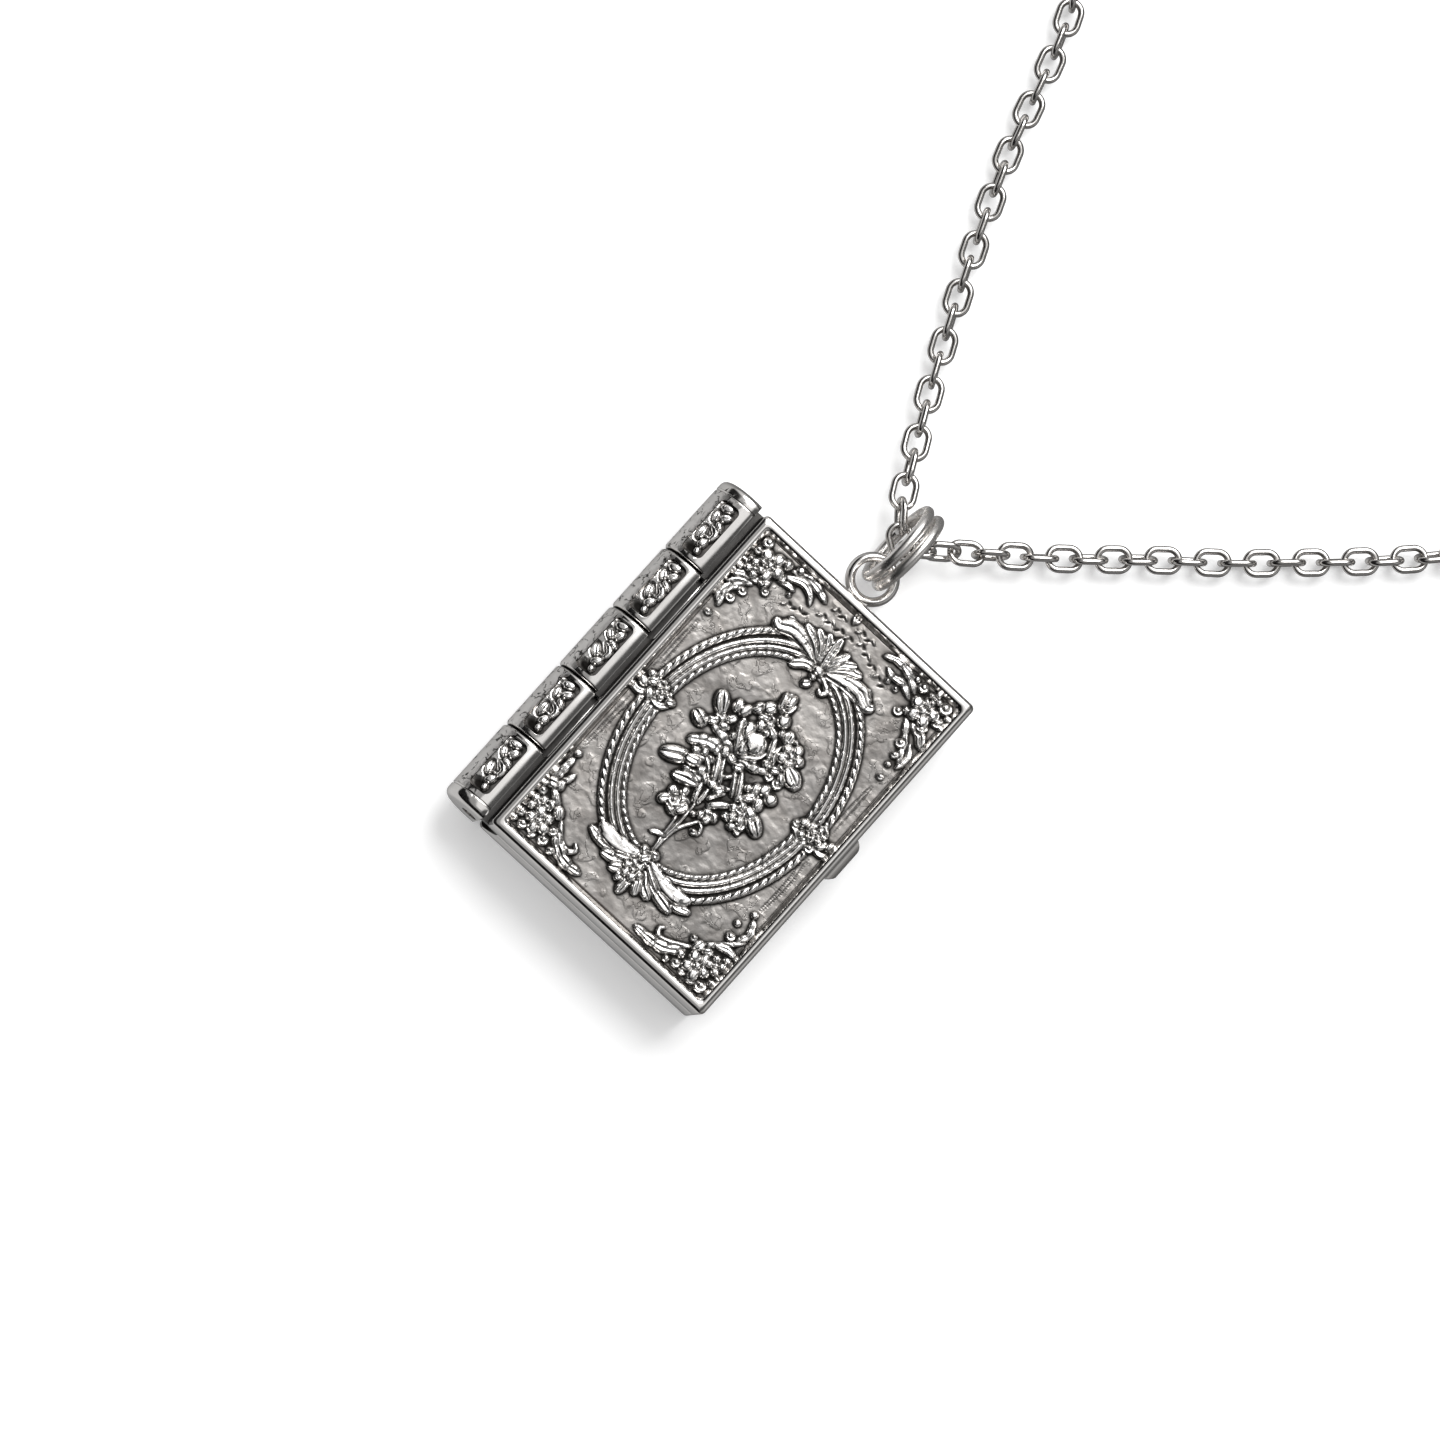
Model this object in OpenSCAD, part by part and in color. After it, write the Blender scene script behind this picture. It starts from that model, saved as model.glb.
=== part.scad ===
// A book-shaped locket that lies on its back, with a loop of cable chain.
// Origin: centre of the back cover's flat face. X runs from the spine to the fore edge,
// Y runs along the spine to the eyelet, Z is up.

/* [Covers] */
// Width of a cover, from the channel beside the spine to the fore edge
cover_w = 20.5; // [16:0.1:30]
// Length of a cover, along the spine
cover_l = 29.8; // [24:0.1:42]
// Thickness of the closed locket
thick = 5.8; // [5.4:0.1:8]
// Gap between the two closed covers
seam = 0.1; // [0.06:0.01:0.2]
// Thickness of a cover's side walls
wall = 1; // [0.6:0.05:1.5]
// Thickness of a cover's floor
floor_t = 0.95; // [0.6:0.05:1.4]
// Radius of the covers' upright corners
corner_r = 0.4; // [0.2:0.05:1]

/* [Rim] */
// Width of the flat crest round the front cover
crest_w = 0.55; // [0.3:0.05:1]
// Width of the slope between the crest and the embossed plate
slope_w = 0.45; // [0.2:0.05:0.8]
// Depth of the embossed plate's field below the crest
field_drop = 0.5; // [0.3:0.05:0.8]
// Thickness of the embossed plate
plate_t = 0.4; // [0.3:0.05:0.6]
// Gap between a plate and the seat that holds it
seat_gap = 0.04; // [0.02:0.01:0.1]

/* [Hinge] */
// Radius of the spine's barrel
spine_r = 2.4; // [2.2:0.05:2.6]
// Distance from the hinge pin to the flat side of the barrel
barrel_flat = 0.75; // [0.7:0.05:1]
// Width of the channel between the barrel and the covers
channel_w = 0.5; // [0.4:0.05:1]
// Length of the whole spine
spine_l = 30.3; // [27:0.1:44]
// Distance between the three middle joints of the spine
knuckle_pitch = 5.7; // [5:0.1:8]
// Gap between two knuckles
knuckle_gap = 0.12; // [0.08:0.01:0.2]
// Gap between a turning knuckle and its pocket in the other cover
pocket_gap = 0.15; // [0.1:0.01:0.3]
// Radius of the hinge pin
pin_r = 0.6; // [0.5:0.05:0.8]
// Running clearance between the pin and its bore, on the radius
pin_fit = 0.04; // [0.02:0.01:0.08]
// Distance of the pin's ends inside the spine's ends
pin_inset = 0.25; // [0.1:0.05:0.6]

/* [Spine windows] */
// Width of the window across a knuckle
window_w = 1.8; // [1.6:0.1:2]
// Depth of the window below the barrel's crown
window_d = 0.45; // [0.3:0.05:0.6]
// Distance from a window's end to its knuckle's end
window_end = 0.45; // [0.4:0.05:0.8]
// Length of the smooth band at each end of the spine
band_l = 0.95; // [0.7:0.05:1.4]
// Turn of the windows towards the spine's outer side
window_turn = 25; // [10:1:30]

/* [Catch] */
// Length of the thumb catch along the fore edge
catch_l = 3.6; // [2:0.1:6]
// Distance that the thumb catch stands out
catch_out = 0.75; // [0.4:0.05:1.2]
// Height of the thumb catch
catch_h = 1.6; // [1:0.1:2]
// Place of the thumb catch along the fore edge
catch_y = 0.4; // [-4:0.1:4]

/* [Eyelet and rings] */
// Outer radius of the eyelet
eyelet_r = 2; // [1.8:0.05:2.4]
// Width of the eyelet's band
eyelet_band = 0.72; // [0.6:0.02:0.74]
// Height of the eyelet's band
eyelet_h = 1.05; // [0.8:0.05:1.2]
// Length of the eyelet's foot between the band and the cover
eyelet_foot = 0.35; // [0.25:0.05:0.6]
// Place of the eyelet across the cover
eyelet_x = -1.1; // [-3:0.1:3]
// Outer radius of a jump ring
ring_r = 3.55; // [3.4:0.05:3.7]
// Wire diameter of a jump ring
ring_wire = 0.84; // [0.7:0.02:0.86]
// Distance between the two jump rings' middles
ring_step = 1; // [0.98:0.01:1.04]
// Lean of the jump rings towards the fore edge
ring_lean = 3; // [0:0.5:3]

/* [Chain] */
// Length of a link
link_l = 2.92; // [2.9:0.01:2.98]
// Width of a link
link_w = 2.1; // [2.06:0.01:2.2]
// Wire diameter of a link
link_wire = 0.48; // [0.4:0.01:0.49]
// Slack between two links, beyond touching
link_slack = 0.12; // [0.11:0.01:0.14]
// Number of links between the locket and the clasp, on each side
side_links = 112; // [100:2:112]
// Length of the clasp's barrel
clasp_l = 6; // [4:0.5:8]

/* [Hidden] */
$fn = 48;
eps = 0.01;
pin_x = -(cover_w / 2 + channel_w + barrel_flat);
pin_z = thick / 2;
case_t = (thick - seam) / 2;
field_z = thick - field_drop;
bore_r = pin_r + pin_fit;
pocket_r = spine_r + pocket_gap;
inner_w = cover_w - 2 * (crest_w + slope_w);
inner_l = cover_l - 2 * (crest_w + slope_w);
// The tray starts beyond the pockets, so its wall beside the spine is thick.
tray_x0 = pin_x + pocket_r + wall / 2;
tray_x1 = cover_w / 2 - wall;
end_l = (spine_l - 3 * knuckle_pitch) / 2;
// The joints between knuckles, from the eyelet end down
joints_y = [for (k = [0:3]) 1.5 * knuckle_pitch - k * knuckle_pitch];
knuckle_y1 = [spine_l / 2, for (y = joints_y) y - knuckle_gap / 2];
knuckle_y0 = [for (y = joints_y) y + knuckle_gap / 2, -spine_l / 2];
front_knuckles = [0, 2, 4];
back_knuckles = [1, 3];
web_t = barrel_flat;
web_root = 0.3;
catch_round = 0.3;
catch_lift = 0.3;
end_round = 0.5;
groove_w = 0.16;
window_r = 0.5;
seat_r = 0.2;

// A box with round upright corners, from z0 to z1
module round_slab(w, l, r, z0, z1) {
    translate([0, 0, z0]) linear_extrude(z1 - z0) {
        square([w - 2 * r, l], center = true);
        square([w, l - 2 * r], center = true);
        for (sx = [-1, 1], sy = [-1, 1])
            translate([sx * (w / 2 - r), sy * (l / 2 - r)]) circle(r);
    }
}

// A cylinder along Y about the pin's axis, between two places
module along_pin(r, y0, y1) {
    translate([pin_x, y1, pin_z]) rotate([90, 0, 0]) cylinder(r = r, h = y1 - y0);
}

// The window's outline, cut or filled, in knuckle k: its floor lies at height 0 here
module at_window(k) {
    y0 = knuckle_y0[k] + (k == 4 ? band_l : 0) + window_end;
    y1 = knuckle_y1[k] - (k == 0 ? band_l : 0) - window_end;
    translate([pin_x, (y0 + y1) / 2, pin_z]) rotate([0, -window_turn, 0])
        translate([0, 0, spine_r - window_d]) children();
}
function window_l(k) = knuckle_y1[k] - knuckle_y0[k] - 2 * window_end
    - (k == 0 || k == 4 ? band_l : 0);

// The barrel of knuckle k, with its flat side and its window.
// The spine's ends are rounded, with a groove beside the end band.
module knuckle(k) {
    span = knuckle_y1[k] - knuckle_y0[k];
    difference() {
        if (k == 0 || k == 4)
            translate([pin_x, k == 0 ? knuckle_y0[k] : knuckle_y1[k], pin_z])
                rotate([k == 0 ? -90 : 90, 0, 0]) rotate_extrude() {
                    square([spine_r - end_round, span]);
                    square([spine_r, span - end_round]);
                    translate([spine_r - end_round, span - end_round]) circle(end_round);
                }
        else along_pin(spine_r, knuckle_y0[k], knuckle_y1[k]);
        translate([pin_x + barrel_flat, knuckle_y0[k] - 1, 0])
            cube([spine_r, span + 2, thick]);
        at_window(k) round_slab(window_w, window_l(k), window_r, 0, window_d + 1);
        if (k == 0) end_groove(spine_l / 2 - band_l);
        if (k == 4) end_groove(-spine_l / 2 + band_l);
    }
}

module end_groove(y) {
    translate([pin_x, y, pin_z]) rotate([90, 0, 0]) rotate_extrude()
        translate([spine_r, 0]) rotate(45) square(groove_w, center = true);
}

// What joins the listed knuckles to their cover; side is 1 for the front and -1 for the back
module webs(list, side) {
    for (k = list) {
        y0 = max(knuckle_y0[k], -cover_l / 2);
        y1 = min(knuckle_y1[k], cover_l / 2);
        z0 = side > 0 ? pin_z + seam / 2 : pin_z - seam / 2 - web_t;
        translate([pin_x + barrel_flat - web_root, y0, z0])
            cube([channel_w + 2 * web_root, y1 - y0, web_t]);
    }
}

// Pockets for the other cover's knuckles, and the pin's bore
module hinge_cuts(others) {
    for (k = others)
        along_pin(pocket_r, knuckle_y0[k] - knuckle_gap / 2, knuckle_y1[k] + knuckle_gap / 2);
    along_pin(bore_r, -spine_l, spine_l);
}

// The shallow hollow inside a cover
module tray(z0, z1) {
    translate([tray_x0, -cover_l / 2 + wall, z0])
        cube([tray_x1 - tray_x0, cover_l - 2 * wall, z1 - z0]);
}

module front_case() color("silver") difference() {
    union() {
        difference() {
            union() {
                round_slab(cover_w, cover_l, corner_r, thick - case_t, thick);
                thumb_catch();
            }
            // Seat of the embossed plate, and the slope down to it
            round_slab(inner_w, inner_l, seat_r, field_z - plate_t, thick + 1);
            rim_slope();
        }
        for (k = front_knuckles) knuckle(k);
        webs(front_knuckles, 1);
    }
    hinge_cuts(back_knuckles);
    tray(0, field_z - plate_t - floor_t);
}

// Four wedges that make the rim's inner side slope down to the field
module rim_slope() {
    for (s = [0:3]) {
        across = (s % 2 == 0 ? cover_w : cover_l) / 2 - crest_w;
        along = (s % 2 == 0 ? cover_l : cover_w) / 2 - crest_w;
        rotate(90 * s) translate([across, along, 0]) rotate([90, 0, 0])
            linear_extrude(2 * along)
                polygon([[0, thick], [-slope_w, field_z], [-2 * slope_w, field_z],
                    [-2 * slope_w, thick + 1], [0, thick + 1]]);
    }
}

module thumb_catch() {
    z0 = thick - case_t + catch_lift;
    translate([cover_w / 2 - wall / 2, catch_y, z0]) linear_extrude(catch_h) {
        reach = wall / 2 + catch_out;
        r = catch_round;
        translate([0, -catch_l / 2]) square([reach - r, catch_l]);
        translate([0, -catch_l / 2 + r]) square([reach, catch_l - 2 * r]);
        for (s = [-1, 1]) translate([reach - r, s * (catch_l / 2 - r)]) circle(r);
    }
}

module back_case() color("silver") difference() {
    union() {
        round_slab(cover_w, cover_l, corner_r, 0, case_t);
        for (k = back_knuckles) knuckle(k);
        webs(back_knuckles, -1);
        eyelet();
    }
    hinge_cuts(front_knuckles);
    tray(floor_t, thick);
}

// Eyelet: a round band on a short foot, soldered to the back cover
eyelet_y = cover_l / 2 + eyelet_foot + eyelet_r;
eyelet_below = 0.15;
eyelet_z = case_t - eyelet_below - eyelet_h / 2;
foot_w = 1.8;
foot_h = 0.8;
module eyelet() {
    translate([eyelet_x, eyelet_y, eyelet_z]) {
        rotate_extrude() translate([eyelet_r - eyelet_band / 2, 0]) {
            square([eyelet_band, eyelet_h - eyelet_band / 2], center = true);
            for (s = [-1, 1])
                translate([0, s * (eyelet_h - eyelet_band) / 2]) circle(eyelet_band / 2);
        }
        translate([-foot_w / 2, -eyelet_r - eyelet_foot - wall / 2, -foot_h / 2])
            cube([foot_w, wall / 2 + eyelet_foot + eyelet_band * 0.6, foot_h]);
    }
}

module hinge_pin() color("gray")
    along_pin(pin_r, -spine_l / 2 + pin_inset, spine_l / 2 - pin_inset);

// One step of the drawing grid on the embossed plate: 185 steps across and 278 along
step_x = inner_w / 185;
step_y = inner_l / 278;
relief_h = 0.45;
sink = 0.06;

// The ornament's tables, in steps of that grid from the plate's middle.
// Leaves: root x, root y, direction in degrees, length, width
BOW_LEAVES = [
    [0, 96, 97, 23, 10], [1, 94, 75, 24, 9], [-3, 93, 120, 22, 9], [3, 93, 52, 24, 9],
    [-4, 95, 143, 28, 9], [-6, 96, 158, 36, 9], [4, 95, 35, 30, 9], [6, 96, 20, 34, 9],
    [-8, 93, 172, 40, 8], [8, 94, 6, 42, 8], [-3, 88, 200, 17, 8], [3, 87, 338, 15, 8],
    [-4, -94, 188, 44, 9], [-6, -96, 203, 34, 10], [-4, -97, 225, 24, 9],
    [-1, -98, 250, 22, 8], [0, -98, 270, 26, 8], [3, -97, 293, 20, 8],
    [6, -96, 318, 24, 9], [6, -95, 338, 36, 10], [6, -94, 352, 42, 9]];
BOUQUET_LEAVES = [
    [0, 48, 90, 19, 10], [-10, 22, 150, 36, 13], [-12, 28, 128, 20, 11],
    [-14, 14, 160, 26, 10], [-12, 6, 172, 38, 12], [-10, -3, 185, 30, 11],
    [-12, -22, 187, 36, 12], [-10, -28, 207, 22, 10], [10, 16, 25, 38, 13],
    [12, 24, 55, 20, 11], [12, 8, 8, 26, 10], [12, -2, 355, 30, 12],
    [10, -12, 325, 18, 9], [12, -22, 348, 38, 11], [12, -28, 325, 26, 10],
    [2, 4, 312, 28, 7], [0, -6, 230, 20, 7], [4, -38, 20, 14, 8],
    [1, -26, 266, 62, 4], [10, -42, 250, 34, 3], [-3, -70, 200, 11, 6]];
CORNER_LEAVES = [
    [-62, 134, 358, 34, 8], [-58, 126, 352, 24, 8], [-70, 110, 320, 12, 7],
    [-84, 108, 245, 12, 8], [-80, 104, 255, 12, 7], [-86, 100, 268, 34, 6],
    [66, 126, 150, 36, 8], [70, 133, 176, 24, 8], [60, 120, 170, 22, 6],
    [70, 114, 215, 12, 7], [80, 110, 300, 14, 9], [82, 100, 282, 36, 6],
    [-66, -114, 325, 24, 9], [-60, -128, 352, 30, 8], [-76, -108, 118, 26, 7],
    [-87, -95, 90, 24, 8], [-88, -97, 118, 14, 7], [-85, -96, 62, 14, 7],
    [-88, -103, 150, 10, 7], [62, -118, 200, 26, 9], [58, -131, 183, 34, 8],
    [72, -108, 38, 22, 8], [88, -92, 95, 14, 8], [82, -88, 110, 10, 6],
    [85, -90, 88, 22, 5]];
// Thin rules and sprigs
FINE_LEAVES = [
    [-87, 9, 90, 50, 3], [-88, -11, 270, 48, 3], [83, 12, 90, 44, 3], [84, -11, 270, 54, 3],
    [-22, 132, 0, 40, 3], [-5, 132, 75, 8, 5], [-28, 123, 0, 32, 3], [8, 127, 338, 36, 4],
    [-53, 111, 12, 22, 4], [-79, 1, 182, 16, 9], [-81, -1, 1, 18, 8], [79, 1, 181, 21, 9],
    [77, -1, 2, 14, 8]];
// Beads and buds: x, y, radius
BEADS = [
    [0, 78, 5], [0, 91, 5], [-1, -91, 5], [-3, -103, 4], [-2, -83, 4],
    [-90, 0, 5], [-86, 5, 6], [-77, 4, 6], [-66, 3, 5], [-86, -5, 5], [-72, -4, 5],
    [87, 4, 5], [83, 6, 6], [74, 4, 6], [64, 2, 5], [84, -5, 5], [72, -5, 5],
    [-3, 23, 11], [-7, 49, 7], [6, 48, 7], [-8, 41, 6], [3, 37, 6], [12, -53, 5],
    [-85, 132, 6], [-76, 132, 6], [-66, 132, 6], [-78, 123, 6], [-86, 115, 6],
    [-74, 113, 6], [-66, 121, 5], [-87, 123, 5], [-79, 97, 4], [-82, 86, 4], [-86, 68, 3],
    [78, 133, 5], [86, 131, 5], [87, 116, 5], [85, 66, 3], [81, 76, 3],
    [-86, -115, 5], [-79, -112, 6], [-71, -111, 5], [-85, -124, 6], [-76, -123, 6],
    [-87, -132, 5], [-79, -132, 6], [-71, -132, 6], [-64, -132, 5], [-66, -122, 5],
    [-47, -121, 5], [62, -113, 6], [70, -114, 6], [84, -114, 5], [73, -124, 5],
    [86, -123, 5], [85, -132, 5], [74, -132, 6], [64, -130, 5], [55, -132, 4],
    [42, -121, 4], [83, -69, 3]];
// Flowers: x, y, radius
FLOWERS = [[-16, -44, 9], [30, -1, 8], [24, 32, 7], [-28, -5, 6], [-27, 20, 6], [76, 120, 9]];
// Rails of the oval wreath: half width, half length, rail's width, rail's height as a share
RAILS = [[67, 90, 4, 0.8], [74, 98, 3, 0.6], [82, 108, 5, 0.9]];

// A leaf along +X with a ridge down its middle
module leaf(l, w, h) {
    root_w = 0.4 * w;
    ridge_w = 0.08 * w;
    hull() {
        translate([0, 0, -sink]) linear_extrude(sink / 2)
            polygon([[0, root_w / 2], [0.45 * l, w / 2], [l, 0], [0.45 * l, -w / 2],
                [0, -root_w / 2]]);
        translate([0.2 * l, -ridge_w / 2, -sink]) cube([0.5 * l, ridge_w, sink + h]);
    }
}

// A low round bud
module bud(r, h) {
    hull() {
        translate([0, 0, -sink]) cylinder(r = r, h = sink + 0.35 * h, $fn = 8);
        cylinder(r = 0.5 * r, h = h, $fn = 6);
    }
}

// Five round petals about a middle, each clear of its neighbours
module flower(r, h) {
    for (a = [0:72:288]) rotate(a + 18) translate([0.62 * r, 0, 0]) bud(0.35 * r, 0.8 * h);
    bud(0.25 * r, h);
}

// A closed rail along an oval, with a peaked section
module oval_rail(rx, ry, w, h) {
    n = 48;
    section = [[-w / 2, -sink], [-w / 4, h], [w / 4, h], [w / 2, -sink]];
    m = len(section);
    polyhedron(
        points = [for (i = [0:n - 1], q = section)
            let (a = 360 * i / n)
            [(rx + q[0]) * cos(a), (ry + q[0]) * sin(a), q[1]]],
        faces = [for (i = [0:n - 1], j = [0:m - 1])
            let (i2 = (i + 1) % n, j2 = (j + 1) % m)
            [i * m + j, i2 * m + j, i2 * m + j2, i * m + j2]]);
}

module ornament() {
    for (t = concat(BOW_LEAVES, BOUQUET_LEAVES, CORNER_LEAVES, FINE_LEAVES))
        translate([t[0] * step_x, t[1] * step_y, 0]) rotate(t[2])
            leaf(t[3] * step_x, t[4] * step_x, relief_h * min(1, 0.3 + t[4] / 14));
    for (t = BEADS)
        translate([t[0] * step_x, t[1] * step_y, 0])
            bud(t[2] * step_x, relief_h * min(1.1, 0.3 + t[2] / 9));
    for (t = FLOWERS)
        translate([t[0] * step_x, t[1] * step_y, 0]) flower(t[2] * step_x, relief_h);
    for (t = RAILS)
        oval_rail(t[0] * step_x, t[1] * step_y, t[2] * step_x, t[3] * relief_h);
}

module front_panel() color("darkgray") translate([0, 0, field_z]) union() {
    translate([0, 0, -plate_t]) linear_extrude(plate_t)
        square([inner_w - 2 * seat_gap, inner_l - 2 * seat_gap], center = true);
    ornament();
}

// A plaque for the window of knuckle k: a flower between two sprays of leaves
module spine_panel(k) color("darkgray") {
    w = window_w - 2 * seat_gap;
    l = window_l(k) - 2 * seat_gap;
    base = 0.12;
    at_window(k) {
        round_slab(w, l, window_r - seat_gap, 0, base, $fn = 16);
        translate([0, 0, base]) {
            flower(0.42 * w, window_d - base);
            for (s = [-1, 1]) {
                for (a = [-38, 0, 38])
                    translate([0, s * 0.2 * l, 0]) rotate(90 * s + a)
                        translate([0.06 * l, 0, 0])
                            leaf(0.19 * l, 0.2 * w, 0.8 * (window_d - base));
                for (c = [-1, 1])
                    translate([c * 0.28 * w, s * 0.4 * l, 0]) bud(0.16 * w, window_d - base);
            }
        }
    }
}
module spine_panel_1() spine_panel(0);
module spine_panel_2() spine_panel(1);
module spine_panel_3() spine_panel(2);
module spine_panel_4() spine_panel(3);
module spine_panel_5() spine_panel(4);

// Two jump rings stand side by side through the eyelet
ring_path_r = ring_r - ring_wire / 2;
// Their wires pass the eyelet's hole this far from its middle, towards the cover
ring_back = 0.22;
ring_y = eyelet_y + ring_path_r - ring_back;
ring_z = ring_r + ring_step / 2 * sin(ring_lean) + eps;
module jump_ring(side) color("silver")
    translate([eyelet_x, ring_y, ring_z]) rotate([0, ring_lean, 0])
        translate([side * ring_step / 2, 0, 0]) rotate([0, 90, 0])
            rotate_extrude() translate([ring_path_r, 0]) circle(ring_wire / 2);
module jump_ring_a() jump_ring(-1);
module jump_ring_b() jump_ring(1);

// The chain's route, from its place in the jump rings round the loop and back.
// The points are offsets from that place.
ROUTE = [[0, 0], [0.93, 0.2], [8.13, 6.11], [13.7, 11.1], [19.4, 16.1], [29.2, 26.1],
    [40.7, 41.6], [49.7, 60.6], [53.7, 82.6], [51.7, 106], [42.7, 128], [26.7, 144],
    [5.7, 151], [-16.3, 147], [-33.3, 133], [-42.3, 114], [-43.3, 92.6], [-37.3, 70.6],
    [-26.8, 48.6], [-16.3, 36.6], [-11.4, 23.2], [-6.9, 12.6], [-2.26, 3], [-1.26, 1.41]];
route_n = len(ROUTE);
route_steps = 16;
function on_route(i, t) = let (
    p0 = ROUTE[(i + route_n - 1) % route_n], p1 = ROUTE[i],
    p2 = ROUTE[(i + 1) % route_n], p3 = ROUTE[(i + 2) % route_n])
    0.5 * (2 * p1 + (p2 - p0) * t + (2 * p0 - 5 * p1 + 4 * p2 - p3) * t * t
        + (3 * p1 - p0 - 3 * p2 + p3) * t * t * t);
samples = [for (i = [0:route_n - 1], j = [0:route_steps - 1]) on_route(i, j / route_steps)];
sample_n = len(samples);
run = [for (i = 0, s = 0; i <= sample_n;
    s = s + norm(samples[(i + 1) % sample_n] - samples[i % sample_n]), i = i + 1) s];
route_x = [for (i = [0:sample_n]) [run[i], samples[i % sample_n][0]]];
route_y = [for (i = [0:sample_n]) [run[i], samples[i % sample_n][1]]];

// A link's ends are half rings of this radius, and it takes this much of the route
link_q = (link_w - link_wire) / 2;
link_s = (link_l - link_w) / 2;
pitch = link_l - 2 * link_wire - link_slack;
// The clasp's end loops, and the distance from its middle to a last link's middle
loop_q = 0.85;
loop_wire = 0.54;
loop_slack = 0.2;
hook = loop_q + link_l / 2 - link_wire - loop_wire / 2 - loop_slack;
clasp_half = clasp_l / 2 + loop_q + hook;
left_links = side_links - 1;
chain_total = (side_links + left_links) * pitch + 2 * clasp_half;
route_k = chain_total / run[sample_n];

// Where the chain crosses the jump rings: inside both, above their lower strands.
// From there it sinks to the surface within a length of about the drape.
cross = [eyelet_x - 0.28, ring_y + 0.53, ring_z - 1.34];
rest_z = link_w / 2 + eps;
drape = 9;
function chain_at(s) = let (
    u = (s + 2 * chain_total) % chain_total,
    d = min(u, chain_total - u) / drape)
    [cross[0] + route_k * lookup(u / route_k, route_x),
     cross[1] + route_k * lookup(u / route_k, route_y),
     rest_z + (cross[2] - rest_z) * exp(-d * d)];

// Links lie flat and stand by turns. Those at the jump rings have rolls of their own,
// in degrees, chosen so that they hook through one another and touch nothing.
CROSS_ROLLS = [186, 89, 180, 84, 2, -54, -125, -21, -100];
near = (len(CROSS_ROLLS) - 1) / 2;
function roll_of(k) =
    abs(k) <= near ? CROSS_ROLLS[k + near]
    : (k > 0) == (abs(k) % 2 == 0) ? (k > 0 ? -82 : 98) + 8 * sin(151 * k)
    : (k > 0 ? 0 : 180) + 5 * sin(97 * k);

module at_chain(s, roll) {
    t = chain_at(s + pitch / 2) - chain_at(s - pitch / 2);
    translate(chain_at(s))
        rotate([roll, -asin(t[2] / norm(t)), atan2(t[1], t[0])]) children();
}

module link() {
    for (e = [-1, 1]) {
        translate([e * link_s, 0, 0]) rotate(-90 * e)
            rotate_extrude(angle = 180) translate([link_q, 0]) circle(link_wire / 2);
        translate([-link_s, e * link_q, 0]) rotate([0, 90, 0])
            cylinder(r = link_wire / 2, h = 2 * link_s);
    }
}

module chain_right() color("silver")
    for (k = [0:side_links]) at_chain(k * pitch, roll_of(k)) link($fn = 20);
module chain_left() color("silver")
    for (k = [1:left_links]) at_chain(-k * pitch, roll_of(-k)) link($fn = 20);

// A plain barrel clasp with a loop at each end, at the back of the neck
module clasp() color("silver") {
    middle = side_links * pitch + clasp_half;
    r = rest_z;
    chamfer = 0.3;
    t = chain_at(middle + pitch) - chain_at(middle - pitch);
    translate(chain_at(middle)) rotate(atan2(t[1], t[0])) {
        rotate([0, 90, 0]) rotate_extrude()
            polygon([[0, -clasp_l / 2], [r - chamfer, -clasp_l / 2],
                [r - eps, -clasp_l / 2 + chamfer], [r - eps, clasp_l / 2 - chamfer],
                [r - chamfer, clasp_l / 2], [0, clasp_l / 2]]);
        for (e = [-1, 1]) translate([e * (clasp_l / 2 + loop_q), 0, 0])
            rotate_extrude() translate([loop_q, 0]) circle(loop_wire / 2);
    }
}

front_case();
front_panel();
back_case();
spine_panel_1();
spine_panel_2();
spine_panel_3();
spine_panel_4();
spine_panel_5();
hinge_pin();
jump_ring_a();
jump_ring_b();
chain_left();
chain_right();
clasp();
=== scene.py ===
"""A book-shaped locket that lies on its back, with embossed covers and a loop of cable chain."""
import math

import bpy
import bmesh
import numpy as np
from mathutils import Matrix, Vector


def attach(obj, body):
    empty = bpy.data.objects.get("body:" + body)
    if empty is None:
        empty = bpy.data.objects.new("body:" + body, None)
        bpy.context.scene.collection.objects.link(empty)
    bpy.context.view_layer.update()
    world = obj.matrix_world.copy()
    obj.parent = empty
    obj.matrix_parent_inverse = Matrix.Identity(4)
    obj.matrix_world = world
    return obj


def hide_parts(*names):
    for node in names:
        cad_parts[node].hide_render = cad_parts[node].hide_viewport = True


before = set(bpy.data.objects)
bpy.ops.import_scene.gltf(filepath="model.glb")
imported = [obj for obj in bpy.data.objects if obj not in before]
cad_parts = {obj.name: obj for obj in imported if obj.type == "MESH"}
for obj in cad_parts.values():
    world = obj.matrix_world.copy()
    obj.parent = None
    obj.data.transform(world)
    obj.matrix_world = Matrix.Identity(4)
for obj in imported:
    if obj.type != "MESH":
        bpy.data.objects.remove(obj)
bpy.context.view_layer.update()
bpy.ops.object.select_all(action="DESELECT")

MM = 0.001

# Sizes of the locket, in millimetres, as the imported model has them
COVER_W = 20.5
COVER_L = 29.8
THICK = 5.8
SEAM = 0.1
FIELD_DROP = 0.5
RIM_W = 1.0
CORNER_R = 0.4
WALL = 1.0
FLOOR_T = 0.95
PLATE_T = 0.4
PIN_X = -11.5
PIN_Z = THICK / 2
SPINE_R = 2.4
BARREL_FLAT = 0.75
CHANNEL_W = 0.5
SPINE_L = 30.3
KNUCKLE_PITCH = 5.7
KNUCKLE_GAP = 0.12
POCKET_R = 2.52
BORE_R = 0.64
WINDOW_W = 1.8
WINDOW_D = 0.45
WINDOW_END = 0.45
WINDOW_TURN = 25
BAND_L = 0.95
CASE_T = (THICK - SEAM) / 2
FIELD_Z = THICK - FIELD_DROP
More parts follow.
